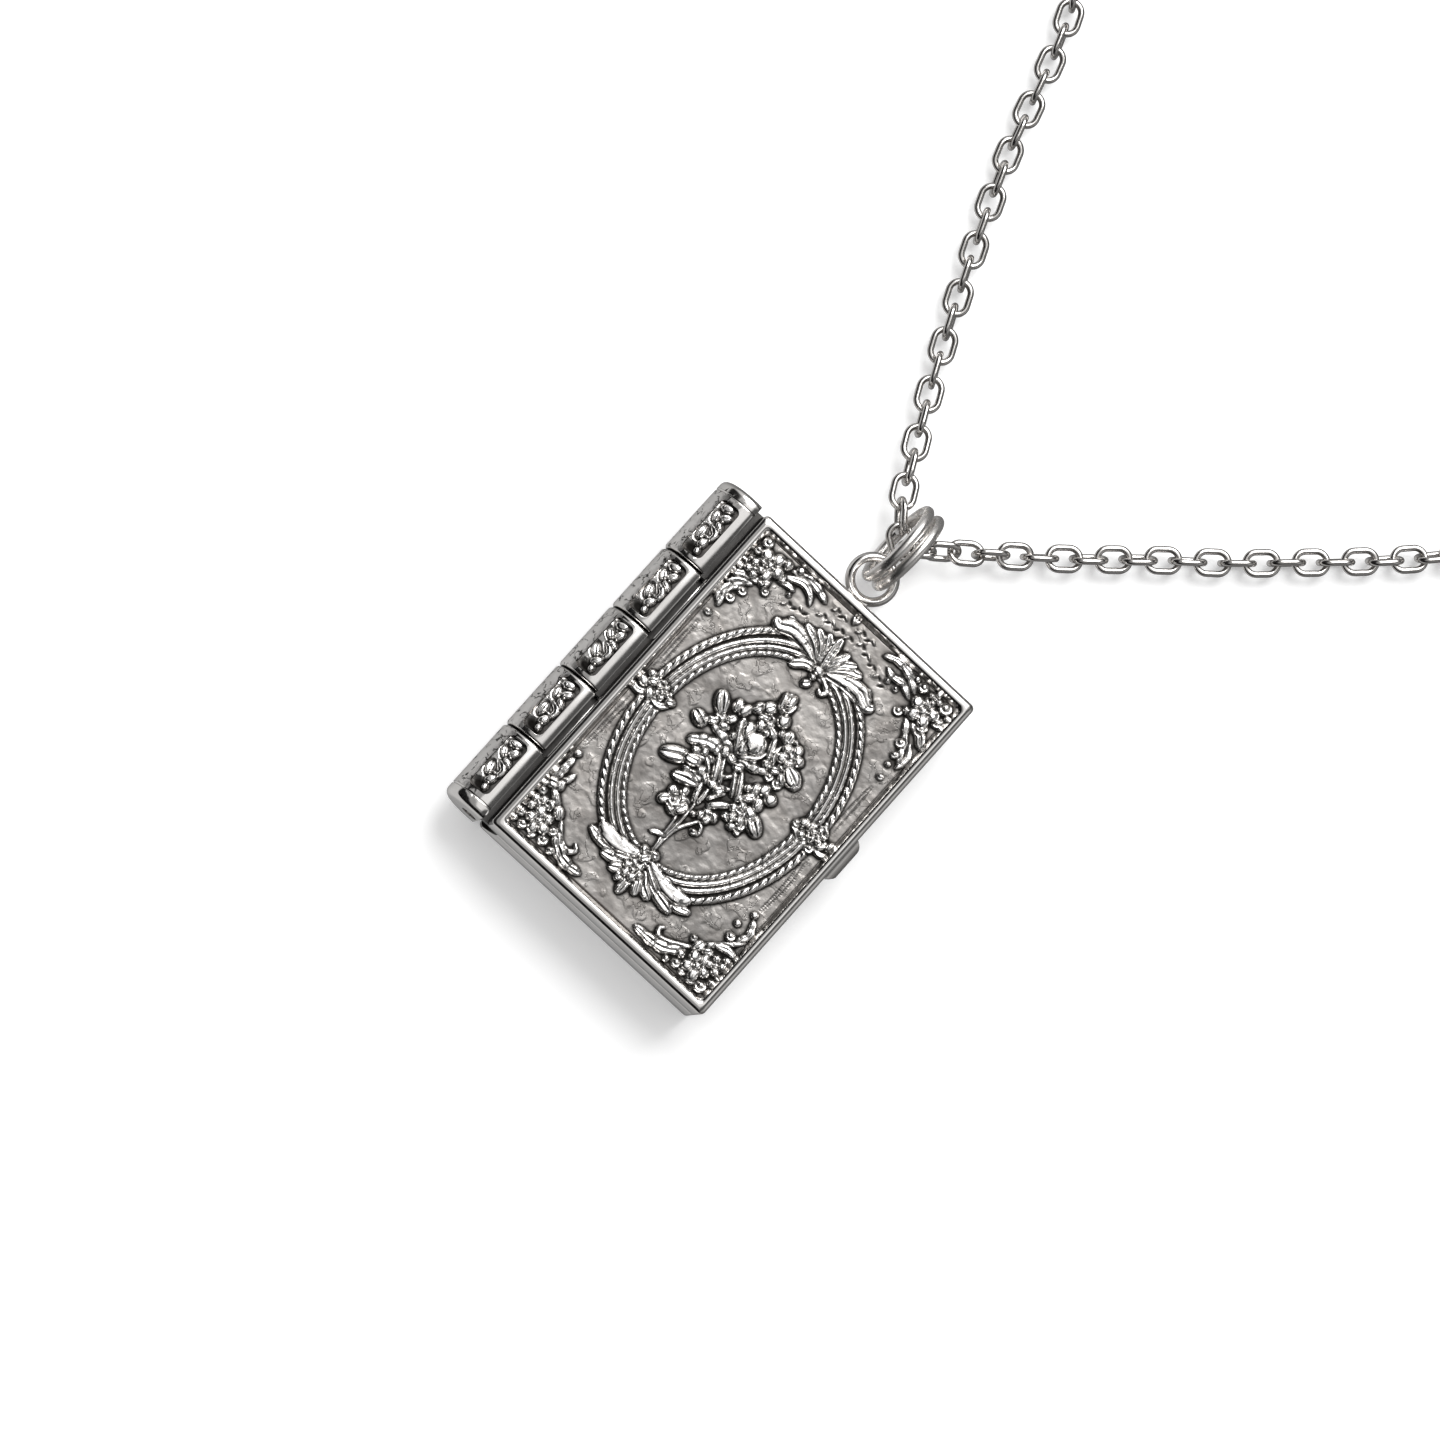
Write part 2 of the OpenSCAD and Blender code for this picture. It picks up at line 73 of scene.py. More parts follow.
INNER_W = COVER_W - 2 * RIM_W
INNER_L = COVER_L - 2 * RIM_W

# Roundings: the seam's edges, a knuckle's ends, the spine's ends, a window's corners, every sharp edge
SEAM_ROUND = 0.16
KNUCKLE_ROUND = 0.26
SPINE_ROUND = 0.5
WINDOW_ROUND = 0.45
SOFT_EDGE = 0.07

# Thumb catch on the free edge: its middle, half length, how far it stands out, its heights and rounding
CATCH_Y = 0.4
CATCH_HALF = 1.8
CATCH_OUT = 0.75
CATCH_LOW = 3.25
CATCH_HIGH = 4.85
CATCH_ROUND = 0.72
CATCH_ROOT = 0.4

# Eyelet at the top edge
EYELET_R = 2.0
EYELET_WIRE = 0.36
EYELET_H = 1.05
EYELET_FOOT = 0.35
EYELET_X = -1.1
EYELET_Y = COVER_L / 2 + EYELET_FOOT + EYELET_R
EYELET_Z = CASE_T - 0.15 - EYELET_H / 2


# Modelling helpers

def edit(mode="FACE"):
    bpy.ops.object.mode_set(mode="EDIT")
    bpy.ops.mesh.select_mode(type=mode)
    bpy.ops.mesh.select_all(action="DESELECT")


def done():
    bpy.ops.object.mode_set(mode="OBJECT")


def keep_in_place(name):
    """The new object's place goes into its mesh, and it gets its name."""
    piece = bpy.context.object
    bpy.ops.object.transform_apply(location=True, rotation=True, scale=True)
    piece.name = name
    piece.data.name = name
    return piece


def only(piece):
    bpy.ops.object.select_all(action="DESELECT")
    bpy.context.view_layer.objects.active = piece
    piece.select_set(True)


def box_piece(name, low, high):
    low, high = Vector(low) * MM, Vector(high) * MM
    bpy.ops.mesh.primitive_cube_add(size=1, location=(low + high) / 2, scale=high - low)
    return keep_in_place(name)


def bar_along_pin(name, r, y0, y1, sides):
    """A round bar about the hinge's axis."""
    bpy.ops.mesh.primitive_cylinder_add(
        vertices=sides, radius=r * MM, depth=(y1 - y0) * MM,
        location=(PIN_X * MM, (y0 + y1) / 2 * MM, PIN_Z * MM), rotation=(math.pi / 2, 0, 0))
    return keep_in_place(name)


def pick(test, kind="faces"):
    """Selects the faces or edges of the mesh in edit mode whose middle and direction pass a test."""
    mesh = bmesh.from_edit_mesh(bpy.context.object.data)
    for part in getattr(mesh, kind):
        if kind == "faces":
            part.select_set(test(part.calc_center_median() / MM, part.normal))
        else:
            a, b = (v.co for v in part.verts)
            part.select_set(test((a + b) / 2 / MM, (b - a).normalized()))
    bmesh.update_edit_mesh(bpy.context.object.data)


def modify(piece, kind, **settings):
    """Adds a modifier and applies it at once."""
    only(piece)
    modifier = piece.modifiers.new(kind.title(), kind)
    for key, value in settings.items():
        setattr(modifier, key, value)
    bpy.ops.object.modifier_apply(modifier=modifier.name)


def cut(piece, tool):
    modify(piece, "BOOLEAN", operation="DIFFERENCE", solver="EXACT", object=tool)
    bpy.data.objects.remove(tool)


def fuse(piece, other):
    modify(piece, "BOOLEAN", operation="UNION", solver="EXACT", object=other)
    bpy.data.objects.remove(other)


def soften(piece, width):
    """Rounds every sharp edge a little, and shades the rest smooth."""
    modify(piece, "BEVEL", width=width * MM, segments=3, limit_method="ANGLE",
           angle_limit=math.radians(32), harden_normals=False, use_clamp_overlap=True)
    only(piece)
    bpy.ops.object.shade_smooth_by_angle(angle=math.radians(38))
    bpy.ops.object.select_all(action="DESELECT")


# Shader helpers

class Wire:
    """A socket whose sums and products add Math nodes."""

    def __init__(self, finish, socket):
        self.finish = finish
        self.socket = socket

    def maths(self, operation, *others):
        return self.finish.node("ShaderNodeMath", {"operation": operation}, [self, *others])

    def __add__(self, other):
        return self.maths("ADD", other)

    def __sub__(self, other):
        return self.maths("SUBTRACT", other)

    def __rsub__(self, other):
        return self.finish.node("ShaderNodeMath", {"operation": "SUBTRACT"}, [other, self])

    def __mul__(self, other):
        return self.maths("MULTIPLY", other)

    __radd__ = __add__

    def clamp(self):
        return self.finish.node("ShaderNodeClamp", {}, [self])


class Finish:
    """A node tree, with one method that adds any node."""

    def __init__(self, tree):
        self.tree = tree

    def node(self, kind, settings, inputs=(), output=0):
        new = self.tree.nodes.new(kind)
        for key, value in settings.items():
            setattr(new, key, value)
        pairs = inputs.items() if isinstance(inputs, dict) else enumerate(inputs)
        for key, value in pairs:
            if isinstance(value, Wire):
                self.tree.links.new(value.socket, new.inputs[key])
            elif value is not None:
                new.inputs[key].default_value = value
        return Wire(self, new.outputs[output])

    def place(self):
        """Object coordinates in millimetres."""
        at = self.node("ShaderNodeTexCoord", {}, output="Object")
        return self.node("ShaderNodeMapping", {}, {"Vector": at, "Scale": (1 / MM, 1 / MM, 1 / MM)})

    def noise(self, scale, detail=3.0, roughness=0.5):
        return self.node("ShaderNodeTexNoise", {}, {"Vector": self.place(), "Scale": scale,
                                                    "Detail": detail, "Roughness": roughness})

    def blend(self, share, dark, light):
        """A colour between two colours."""
        return self.node("ShaderNodeMix", {"data_type": "RGBA"}, {0: share, 6: dark, 7: light}, output=2)

    def spread(self, value, low, high, new_low=0.0, new_high=1.0):
        return self.node("ShaderNodeMapRange", {"interpolation_type": "SMOOTHSTEP"},
                         [value, low, high, new_low, new_high])


def metal(name, colour, deep, roughness, scratch=0.25, mottle=0.0, carved=False, flecks=0.0):
    """A plated metal: its bright colour, its colour where it is dulled, and how rough it is.
    A carved one reads how high each point of its relief lies, and how dark to paint each point: near black
    in its hollows, partly oxide and partly painted shade.
    Flecks are short dark marks, as of a hammer."""
    material = bpy.data.materials.new(name)
    material.use_nodes = True
    tree = material.node_tree
    shader = tree.nodes["Principled BSDF"]
    shader.inputs["Metallic"].default_value = 1.0
    look = Finish(tree)
    cloudy = look.noise(0.55, 4.0)
    fine = look.noise(9.0, 2.0)
    smears = look.spread(cloudy, 0.35, 0.7)
    if carved:
        oxide_and_painted_shade = look.node("ShaderNodeAttribute", {"attribute_name": "oxide_and_painted_shade"}, output="Fac")
        crown = look.node("ShaderNodeAttribute", {"attribute_name": "crown"}, output="Fac")
        dulled = (1 - crown) * (0.86 + smears * 0.14)
        along = look.node("ShaderNodeSeparateXYZ", {}, [look.place()], output="Y")
        patches = look.spread(look.noise(0.2, 3.0) + along * 0.006, 0.32, 0.62)
        # The plate's colour is darker about the oval's lower half, and lighter along its foot
        away = look.node("ShaderNodeVectorMath", {"operation": "DISTANCE"},
                         {0: look.place(), 1: (0.5, -5.5, FIELD_Z)}, output="Value")
        patches = patches - look.spread(away, 5.5, 2.0) * 0.8 + look.spread(along, -11.0, -13.0) * 0.7
        dark = look.blend(patches.clamp(), tuple(0.62 * tone for tone in deep),
                          tuple(1.04 * tone for tone in deep))
        grey = look.blend(dulled.clamp(), colour, dark)
        # Hollows painted near black: partly oxide, partly painted shade
        tone = look.blend((oxide_and_painted_shade * 0.97).clamp(), grey, (0.010, 0.009, 0.008, 1))
        rough = dulled * 0.26 + roughness + oxide_and_painted_shade * 0.2 + fine * 0.05
    else:
        marks = look.spread((look.noise(1.5, 3.0, 0.5) - 0.5).maths("ABSOLUTE"), 0.036, 0.016)
        marks = marks * look.spread(look.noise(1.1, 1.0), 0.46, 0.56) * flecks
        grey = look.blend((smears * 0.35).clamp(), colour, deep)
        tone = look.blend(marks.clamp(), grey, (0.05, 0.048, 0.045, 1))
        rough = smears * 0.06 + roughness + fine * 0.04
    tree.links.new(tone.socket, shader.inputs["Base Color"])
    tree.links.new(rough.socket, shader.inputs["Roughness"])
    height = look.noise(3.2, 3.0, 0.6) * mottle + fine * scratch
    if carved:
        creases = look.spread((look.noise(1.3, 3.0, 0.5) - 0.5).maths("ABSOLUTE"), 0.0, 0.022)
        some = look.spread(look.noise(0.8, 1.0), 0.5, 0.6)
        dents = look.spread(look.noise(1.25, 1.0), 0.3, 0.7)
        height = height + creases * some * 2.3 + dents * 2.2
    bump = look.node("ShaderNodeBump", {}, {"Strength": 1.0, "Distance": 0.01 * MM, "Height": height})
    tree.links.new(bump.socket, shader.inputs["Normal"])
    return material


SILVER = metal("polished_silver", (0.80, 0.78, 0.76, 1), (0.60, 0.58, 0.56, 1), 0.08, 0.15)
CHAIN_SILVER = metal("chain_silver", (0.64, 0.62, 0.60, 1), (0.46, 0.445, 0.43, 1), 0.13, 0.15)
RING_SILVER = metal("ring_silver", (0.92, 0.895, 0.87, 1), (0.80, 0.775, 0.755, 1), 0.23, 0.15)
SATIN_SILVER = metal("satin_silver", (0.80, 0.78, 0.76, 1), (0.62, 0.60, 0.58, 1), 0.27, 0.4, 6.0,
                     flecks=1.0)
INSIDE_SILVER = metal("inside_silver", (0.80, 0.78, 0.76, 1), (0.62, 0.60, 0.58, 1), 0.3, 0.3)
# Near black: painted shade for the narrow channel beside the spine, the joints between knuckles and the
# pockets
PAINTED_SHADE_SILVER = metal("painted_shade_silver", (0.09, 0.087, 0.084, 1), (0.03, 0.029, 0.028, 1), 0.32, 0.3)
CARVED_SILVER = metal("carved_silver", (0.88, 0.86, 0.84, 1), (0.262, 0.246, 0.232, 1), 0.12, 0.5, 1.1, True)
PIN_STEEL = metal("pin_steel", (0.50, 0.50, 0.50, 1), (0.36, 0.36, 0.36, 1), 0.25, 0.3)


def dress(piece, material):
    piece.data.materials.clear()
    piece.data.materials.append(material)


# Relief

def curve(points, per_span=14):
    """A smooth line through a few points."""
    p = np.array(points, float)
    p = np.vstack([2 * p[0] - p[1], p, 2 * p[-1] - p[-2]])
    out = []
    for a, b, c, d in zip(p[:-3], p[1:-2], p[2:-1], p[3:]):
        t = np.linspace(0, 1, per_span, endpoint=False)[:, None]
        out.append(0.5 * (2 * b + (c - a) * t + (2 * a - 5 * b + 4 * c - d) * t ** 2
                          + (3 * b - a - 3 * c + d) * t ** 3))
    out.append(p[-2:-1])
    return np.vstack(out)


# How far the groove round each form reaches, and how much higher a petal's near side is
GROOVE = 0.12
LEAN = 0.12


class Relief:
    """The heights of a cast surface over a flat grid, in millimetres."""

    def __init__(self, width, length, step):
        self.x = np.linspace(-width / 2, width / 2, round(width / step) + 1)
        self.y = np.linspace(-length / 2, length / 2, round(length / step) + 1)
        self.h = np.zeros((len(self.y), len(self.x)))
        # Where the ground is painted dark as shade, from 0 to 1
        self.painted_shade = np.zeros(self.h.shape)

    def near(self, x0, x1, y0, y1):
        """The part of the grid in a box, with its places."""
        i = slice(*np.searchsorted(self.x, (x0, x1)))
        j = slice(*np.searchsorted(self.y, (y0, y1)))
        return (j, i), self.x[i][None, :], self.y[j][:, None]

    def lay(self, part, d, half, shape, h):
        """Lays a form over the older ones, with a groove round it. At its edge d is 1."""
        old = self.h[part]
        beside = old * (0.3 + 0.7 * np.clip((d - 1) * half / GROOVE, 0, 1))
        dome = h * shape * np.clip(1 - d ** 3.4, 0, 1) ** 0.6
        self.h[part] = np.where(d < 1, dome * 0.88 + np.minimum(old, h) * 0.12, beside)

    def bead(self, x, y, r, h=0.32, dimple=0.0):
        part, gx, gy = self.near(x - r - GROOVE, x + r + GROOVE, y - r - GROOVE, y + r + GROOVE)
        d = np.hypot(gx - x, gy - y) / r
        cup = np.hypot(gx - x + 0.1 * r, gy - y - 0.2 * r) / r
        groove = (0.35 + 0.6 * dimple) * np.exp(-((cup - 0.62) / 0.15) ** 2) if dimple else 0
        self.lay(part, d, r, 1 - groove, h)

    def petal(self, x, y, turn, length, width, h=0.34, crease=0.3):
        """An oval petal about its middle, with a crease along it."""
        r = length / 2 + GROOVE
        part, gx, gy = self.near(x - r, x + r, y - r, y + r)
        a = math.radians(turn)
        u = ((gx - x) * math.cos(a) + (gy - y) * math.sin(a)) / (length / 2)
        v = (-(gx - x) * math.sin(a) + (gy - y) * math.cos(a)) / (width / 2)
        lean = 1 - LEAN * ((gx - x) * 0.6 + (gy - y) * 0.8) / (length / 2)
        self.lay(part, np.sqrt(u ** 2 + v ** 2), width / 2, lean * (1 - crease * np.exp(-(v / 0.2) ** 2)), h)

    def flower(self, x, y, r, petals=5, turn=18, h=0.36):
        """Round petals about a small button, on a low ground."""
        self.bead(x, y, 0.92 * r, 0.3 * h)
        for k in range(petals):
            a = math.radians(turn + 360 * k / petals)
            self.petal(x + 0.64 * r * math.cos(a), y + 0.64 * r * math.sin(a), math.degrees(a),
                       0.95 * r, 0.84 * r, h, 0.06)
        self.bead(x, y, 0.27 * r, h * 0.85)

    def stroke(self, points, width, h=0.3, tip=0.15, swell=0.35, vein=0.0, lobes=0):
        """A stem, leaf or scroll along a line: widest at the swell, with a vein and a lobed edge."""
        line = curve(points)
        lo, hi = line.min(0) - width / 2 - GROOVE, line.max(0) + width / 2 + GROOVE
        part, gx, gy = self.near(lo[0], hi[0], lo[1], hi[1])
        run = np.concatenate([[0], np.cumsum(np.hypot(*np.diff(line, axis=0).T))])
        t = run / run[-1]
        d2 = (gx[..., None] - line[:, 0]) ** 2 + (gy[..., None] - line[:, 1]) ** 2
        k = d2.argmin(-1)
        d = np.sqrt(np.take_along_axis(d2, k[..., None], -1)[..., 0])
        rise = np.sqrt(1 - 0.75 * np.clip(1 - t / swell, 0, 1) ** 2)
        fall = np.sqrt(1 - np.clip((t - swell) / (1 - swell), 0, 1) ** 2)
        half = width / 2 * np.maximum(np.minimum(rise, tip + (1 - tip) * fall), 0.02)
        tall = (0.6 + 0.4 * np.minimum(rise, fall)) * (0.75 + 0.25 * t)
        if lobes:
            wave = np.abs(np.sin(math.pi * lobes * t))
            half = half * (0.8 + 0.25 * wave)
            tall = tall * (0.72 + 0.28 * wave)
        s = d / half[k]
        self.lay(part, s, half[k], tall[k] * (1 - vein * np.exp(-(s / 0.2) ** 2)), h)

    def oval(self, x, y, rx, ry, width, h, strands, slant):
        """A rail along an oval, plain or twisted like a rope."""
        gx, gy = self.x[None, :] - x, self.y[:, None] - y
        a = np.arctan2(gy / ry, gx / rx)
        for _ in range(3):
            px, py = rx * np.cos(a), ry * np.sin(a)
            tx, ty = -rx * np.sin(a), ry * np.cos(a)
            a = a + ((gx - px) * tx + (gy - py) * ty) / (tx ** 2 + ty ** 2)
        px, py = rx * np.cos(a), ry * np.sin(a)
        nx, ny = ry * np.cos(a), rx * np.sin(a)
        d = ((gx - px) * nx + (gy - py) * ny) / np.hypot(nx, ny)
        s = d / (width / 2)
        dome = h * np.sqrt(np.clip(1 - s ** 2, 0, 1))
        if strands:
            arc = np.hypot(rx * np.sin(a), ry * np.cos(a)) / ((rx + ry) / 2)
            wave = np.abs(np.sin(strands * a / 2 + slant * s * arc))
            dome = dome * (0.3 + 0.7 * wave ** 0.5)
        self.h = np.where(np.abs(s) < 1, np.maximum(self.h, dome), self.h)

    def blurred(self, reach):
        """The heights, smoothed over a reach in both directions."""
        step = self.x[1] - self.x[0]
        n = max(1, round(reach / step))
        kernel = np.hanning(2 * n + 3)[1:-1]
        kernel /= kernel.sum()
        pad = np.pad(self.h, n, mode="edge")
        pad = np.apply_along_axis(lambda r: np.convolve(r, kernel, "valid"), 1, pad)
        return np.apply_along_axis(lambda c: np.convolve(c, kernel, "valid"), 0, pad)

    def piece(self, name, at=Matrix.Identity(4), skirt=0.3, ground=0.0):
        """A grid whose points are raised, with what its material reads: how dark each point is painted, near
        black in hollows as oxide and painted shade, and its polished crown.
        """
        rows, columns = self.h.shape
        bpy.ops.mesh.primitive_grid_add(x_subdivisions=columns - 1, y_subdivisions=rows - 1, size=2)
        grid = keep_in_place(name)
        flat = np.empty(rows * columns * 3)
        grid.data.vertices.foreach_get("co", flat)
        flat = flat.reshape(-1, 3)
        i = np.rint((flat[:, 0] + 1) / 2 * (columns - 1)).astype(int)
        j = np.rint((flat[:, 1] + 1) / 2 * (rows - 1)).astype(int)
        points = np.stack([self.x[i], self.y[j], self.h[j, i]], 1)
        edge = (i == 0) | (j == 0) | (i == columns - 1) | (j == rows - 1)
        points[edge, 2] = -skirt
        turned = points @ np.array(at.to_3x3()).T + np.array(at.translation)
        grid.data.vertices.foreach_set("co", (turned * MM).ravel())
        # Near black below the surroundings, partly oxide and partly painted shade, and never lighter than
        # the ground's painted shade; high points stay clear
        deep = np.clip((self.blurred(0.42) - self.h) / 0.058 - 0.12, np.maximum(ground, self.painted_shade), 1)
        deep = deep * np.clip(1.2 - self.h / 0.2, 0, 1)
        high = np.clip((self.h - 0.09) / 0.1, 0, 1)
        for key, value in (("oxide_and_painted_shade", deep), ("crown", high)):
            attribute = grid.data.attributes.new(key, "FLOAT", "POINT")
            attribute.data.foreach_set("value", value[j, i])
        grid.data.polygons.foreach_set("use_smooth", [True] * len(grid.data.polygons))
        grid.data.update()
        dress(grid, CARVED_SILVER)
        return grid


# Tables of the cover's ornament, in millimetres from the cover's middle.
# Fans of petals that widen towards their tips: points along the petal, width, height, vein
FANS = [
    # Palmette at the top of the oval
    ([(-0.5, 9.2), (-2.2, 9.65), (-3.6, 9.6), (-4.2, 9.25)], 0.55, 0.34, 0.3),
    ([(0.5, 9.1), (2.2, 9.5), (3.6, 9.3)], 0.55, 0.34, 0.3),
    ([(-2.9, 10.0), (-3.6, 10.5), (-4.2, 10.55)], 0.5, 0.42, 0.3),
    ([(2.8, 10.0), (3.4, 10.45), (4.1, 10.35)], 0.5, 0.42, 0.3),
    ([(-0.6, 9.5), (-2.0, 10.05), (-3.3, 10.1), (-4.3, 9.65), (-4.75, 9.95)], 1.25, 0.44, 0.3),
    ([(0.6, 9.5), (2.0, 9.95), (3.3, 10.05), (4.3, 9.6), (4.85, 9.85)], 1.25, 0.44, 0.3),
    ([(-0.3, 9.6), (-1.5, 10.5), (-2.9, 11.05)], 0.75, 0.44, 0.5),
    ([(0.4, 9.6), (1.5, 10.5), (2.7, 10.95)], 0.75, 0.44, 0.5),
    ([(-0.25, 9.6), (-1.0, 10.7), (-2.0, 11.4)], 0.72, 0.45, 0.5),
    ([(0.3, 9.6), (1.0, 10.6), (1.9, 11.25)], 0.7, 0.45, 0.5),
    ([(-0.15, 9.6), (-0.55, 10.8), (-1.15, 11.7)], 0.72, 0.46, 0.5),
    ([(0.2, 9.6), (0.6, 10.7), (1.0, 11.55)], 0.66, 0.46, 0.5),
    ([(0, 9.6), (-0.15, 10.9), (-0.2, 12.0)], 0.8, 0.48, 0.6),
    ([(-0.2, 9.0), (-1.1, 8.8), (-1.95, 8.05)], 0.8, 0.40, 0.6),
    ([(0.25, 9.0), (0.9, 8.8), (1.45, 8.35), (1.2, 7.95), (0.85, 8.2)], 0.42, 0.38, 0.2),
    # Bow at the foot of the oval
    ([(-0.6, -9.7), (-2.4, -10.35), (-3.6, -10.45), (-4.8, -10.2)], 0.85, 0.40, 0.5),
    ([(0.6, -9.7), (2.4, -10.3), (3.6, -10.35), (4.8, -10.0)], 0.85, 0.40, 0.5),
    ([(-0.6, -9.9), (-1.7, -10.7), (-3.0, -11.05)], 0.8, 0.42, 0.5),
    ([(0.6, -9.9), (2.0, -10.6), (3.7, -11.0)], 0.9, 0.42, 0.5),
    ([(-0.5, -10.1), (-1.1, -11.0), (-1.9, -11.5)], 0.8, 0.43, 0.5),
    ([(0.4, -10.1), (1.0, -10.9), (1.9, -11.35)], 0.8, 0.43, 0.5),
    ([(-0.4, -10.4), (-0.8, -11.4), (-1.0, -11.9)], 0.7, 0.44, 0.4),
    ([(0.2, -10.4), (0.6, -11.3), (0.9, -11.8)], 0.7, 0.44, 0.4),
    ([(-0.15, -10.5), (-0.2, -11.6), (-0.2, -12.5)], 0.8, 0.46, 0.6),
    ([(-0.3, -9.3), (-1.8, -9.7), (-3.2, -9.8), (-4.4, -9.45)], 1.2, 0.46, 0.0),
    ([(0.3, -9.3), (1.8, -9.75), (3.2, -9.8), (4.3, -9.4)], 1.15, 0.46, 0.0),
    ([(-0.2, -9.5), (-1.1, -10.1), (-2.2, -10.6)], 0.36, 0.48, 0.0),
    ([(0.1, -9.5), (1.0, -10.05), (2.0, -10.55)], 0.36, 0.48, 0.0),
]

# Leaves: points along the leaf, width, height, vein, lobes
LEAVES = [
    # Bouquet
    ([(-0.8, 0.55), (-2.0, 0.95), (-3.2, 1.2)], 0.85, 0.38, 0.0, 3),
    ([(-0.9, -0.05), (-2.0, 0.05), (-3.0, -0.35), (-3.8, -0.95)], 1.1, 0.42, 0.3, 4),
    ([(-1.2, -0.75), (-2.1, -1.15), (-3.1, -1.0)], 0.8, 0.38, 0.2, 3),
    ([(-0.9, -2.3), (-1.8, -2.55), (-2.7, -2.55)], 0.8, 0.42, 0.2, 3),
    ([(-1.1, -2.9), (-2.0, -3.1), (-2.95, -3.5)], 1.0, 0.44, 0.4, 0),
    ([(0.1, 0.45), (1.1, 0.7), (2.3, 1.3)], 0.7, 0.42, 0.0, 3),
    ([(0.9, 3.6), (1.25, 2.7), (1.7, 1.7)], 0.5, 0.40, 0.0, 0),
    ([(1.8, 3.4), (1.75, 2.6), (2.05, 1.8)], 0.5, 0.44, 0.0, 0),
    ([(2.7, -2.9), (3.2, -3.2), (3.5, -3.7)], 0.7, 0.40, 0.3, 0),
    ([(-0.4, -7.2), (-0.9, -7.3), (-1.45, -7.65)], 0.45, 0.28, 0.3, 0),
    # Top left corner
    ([(-6.0, 13.2), (-4.7, 13.5), (-3.7, 13.4), (-2.75, 13.05)], 0.75, 0.36, 0.4, 4),
    ([(-6.2, 12.5), (-5.0, 13.0), (-4.1, 12.75), (-3.55, 12.1)], 0.62, 0.38, 0.4, 0),
    ([(-6.4, 11.9), (-5.7, 12.15), (-5.05, 12.15)], 0.5, 0.34, 0.4, 0),
    ([(-7.3, 10.9), (-8.3, 10.75), (-9.45, 10.1)], 0.7, 0.38, 0.5, 3),
    ([(-7.7, 10.4), (-8.6, 10.0), (-9.2, 9.4)], 0.5, 0.34, 0.4, 0),
    ([(-8.1, 10.0), (-8.75, 9.0), (-8.5, 7.5)], 0.62, 0.36, 0.4, 3),
    ([(-8.9, 9.4), (-9.15, 8.6), (-8.85, 7.8)], 0.42, 0.30, 0.3, 0),
    # Top right corner
    ([(6.2, 12.7), (5.2, 13.4), (3.9, 13.6), (2.7, 13.15)], 0.72, 0.36, 0.4, 4),
    ([(6.2, 12.1), (5.2, 12.6), (4.3, 12.5), (3.5, 12.75)], 0.6, 0.36, 0.4, 3),
    ([(7.0, 11.0), (7.6, 10.2), (8.2, 9.2), (8.75, 8.0)], 0.62, 0.36, 0.4, 3),
    ([(7.7, 10.9), (8.5, 10.75), (9.25, 9.9)], 0.85, 0.38, 0.5, 0),
    ([(8.5, 9.7), (9.0, 8.8), (8.8, 7.6)], 0.45, 0.32, 0.3, 0),
    # Bottom left corner
    ([(-6.5, -11.4), (-5.7, -12.4), (-4.9, -12.75), (-4.35, -12.3), (-4.75, -11.85)], 0.5, 0.38, 0.2, 0),
    ([(-6.3, -12.2), (-5.2, -13.1), (-4.2, -13.4), (-2.9, -13.3)], 0.95, 0.40, 0.5, 4),
    ([(-7.2, -10.9), (-7.9, -10.4), (-8.6, -9.9)], 0.6, 0.38, 0.4, 0),
    ([(-8.75, -9.5), (-8.85, -8.5), (-8.8, -7.4)], 0.65, 0.38, 0.5, 3),
    ([(-8.5, -9.5), (-8.1, -8.9), (-7.95, -8.2)], 0.5, 0.34, 0.3, 0),
    ([(-9.0, -9.5), (-9.35, -8.8), (-9.4, -8.0)], 0.48, 0.34, 0.3, 0),
    # Bottom right corner
    ([(6.4, -11.7), (5.3, -12.4), (4.3, -12.75), (3.8, -12.3), (4.15, -11.9)], 0.5, 0.38, 0.2, 0),
    ([(6.2, -12.3), (5.0, -13.1), (3.8, -13.3), (2.25, -13.3)], 0.85, 0.40, 0.5, 4),
    ([(6.9, -11.0), (8.1, -10.0), (9.15, -8.8)], 0.5, 0.36, 0.2, 3),
    ([(7.7, -10.4), (8.6, -10.1), (9.35, -10.2)], 0.6, 0.34, 0.4, 0),
    ([(8.6, -9.1), (8.95, -8.3), (8.5, -7.2)], 0.62, 0.36, 0.4, 3),
    # Side clusters on the oval
    ([(-8.0, -0.3), (-8.8, -0.75), (-9.8, -0.4)], 0.6, 0.36, 0.3, 0),
    ([(-7.8, -0.3), (-7.0, -0.6), (-6.2, -0.1)], 0.6, 0.36, 0.3, 0),
    ([(7.6, -0.2), (6.8, -0.55), (5.85, -0.2)], 0.55, 0.36, 0.3, 0),
    ([(8.0, -0.3), (8.8, -0.6), (9.5, -0.2)], 0.5, 0.36, 0.3, 0),
]

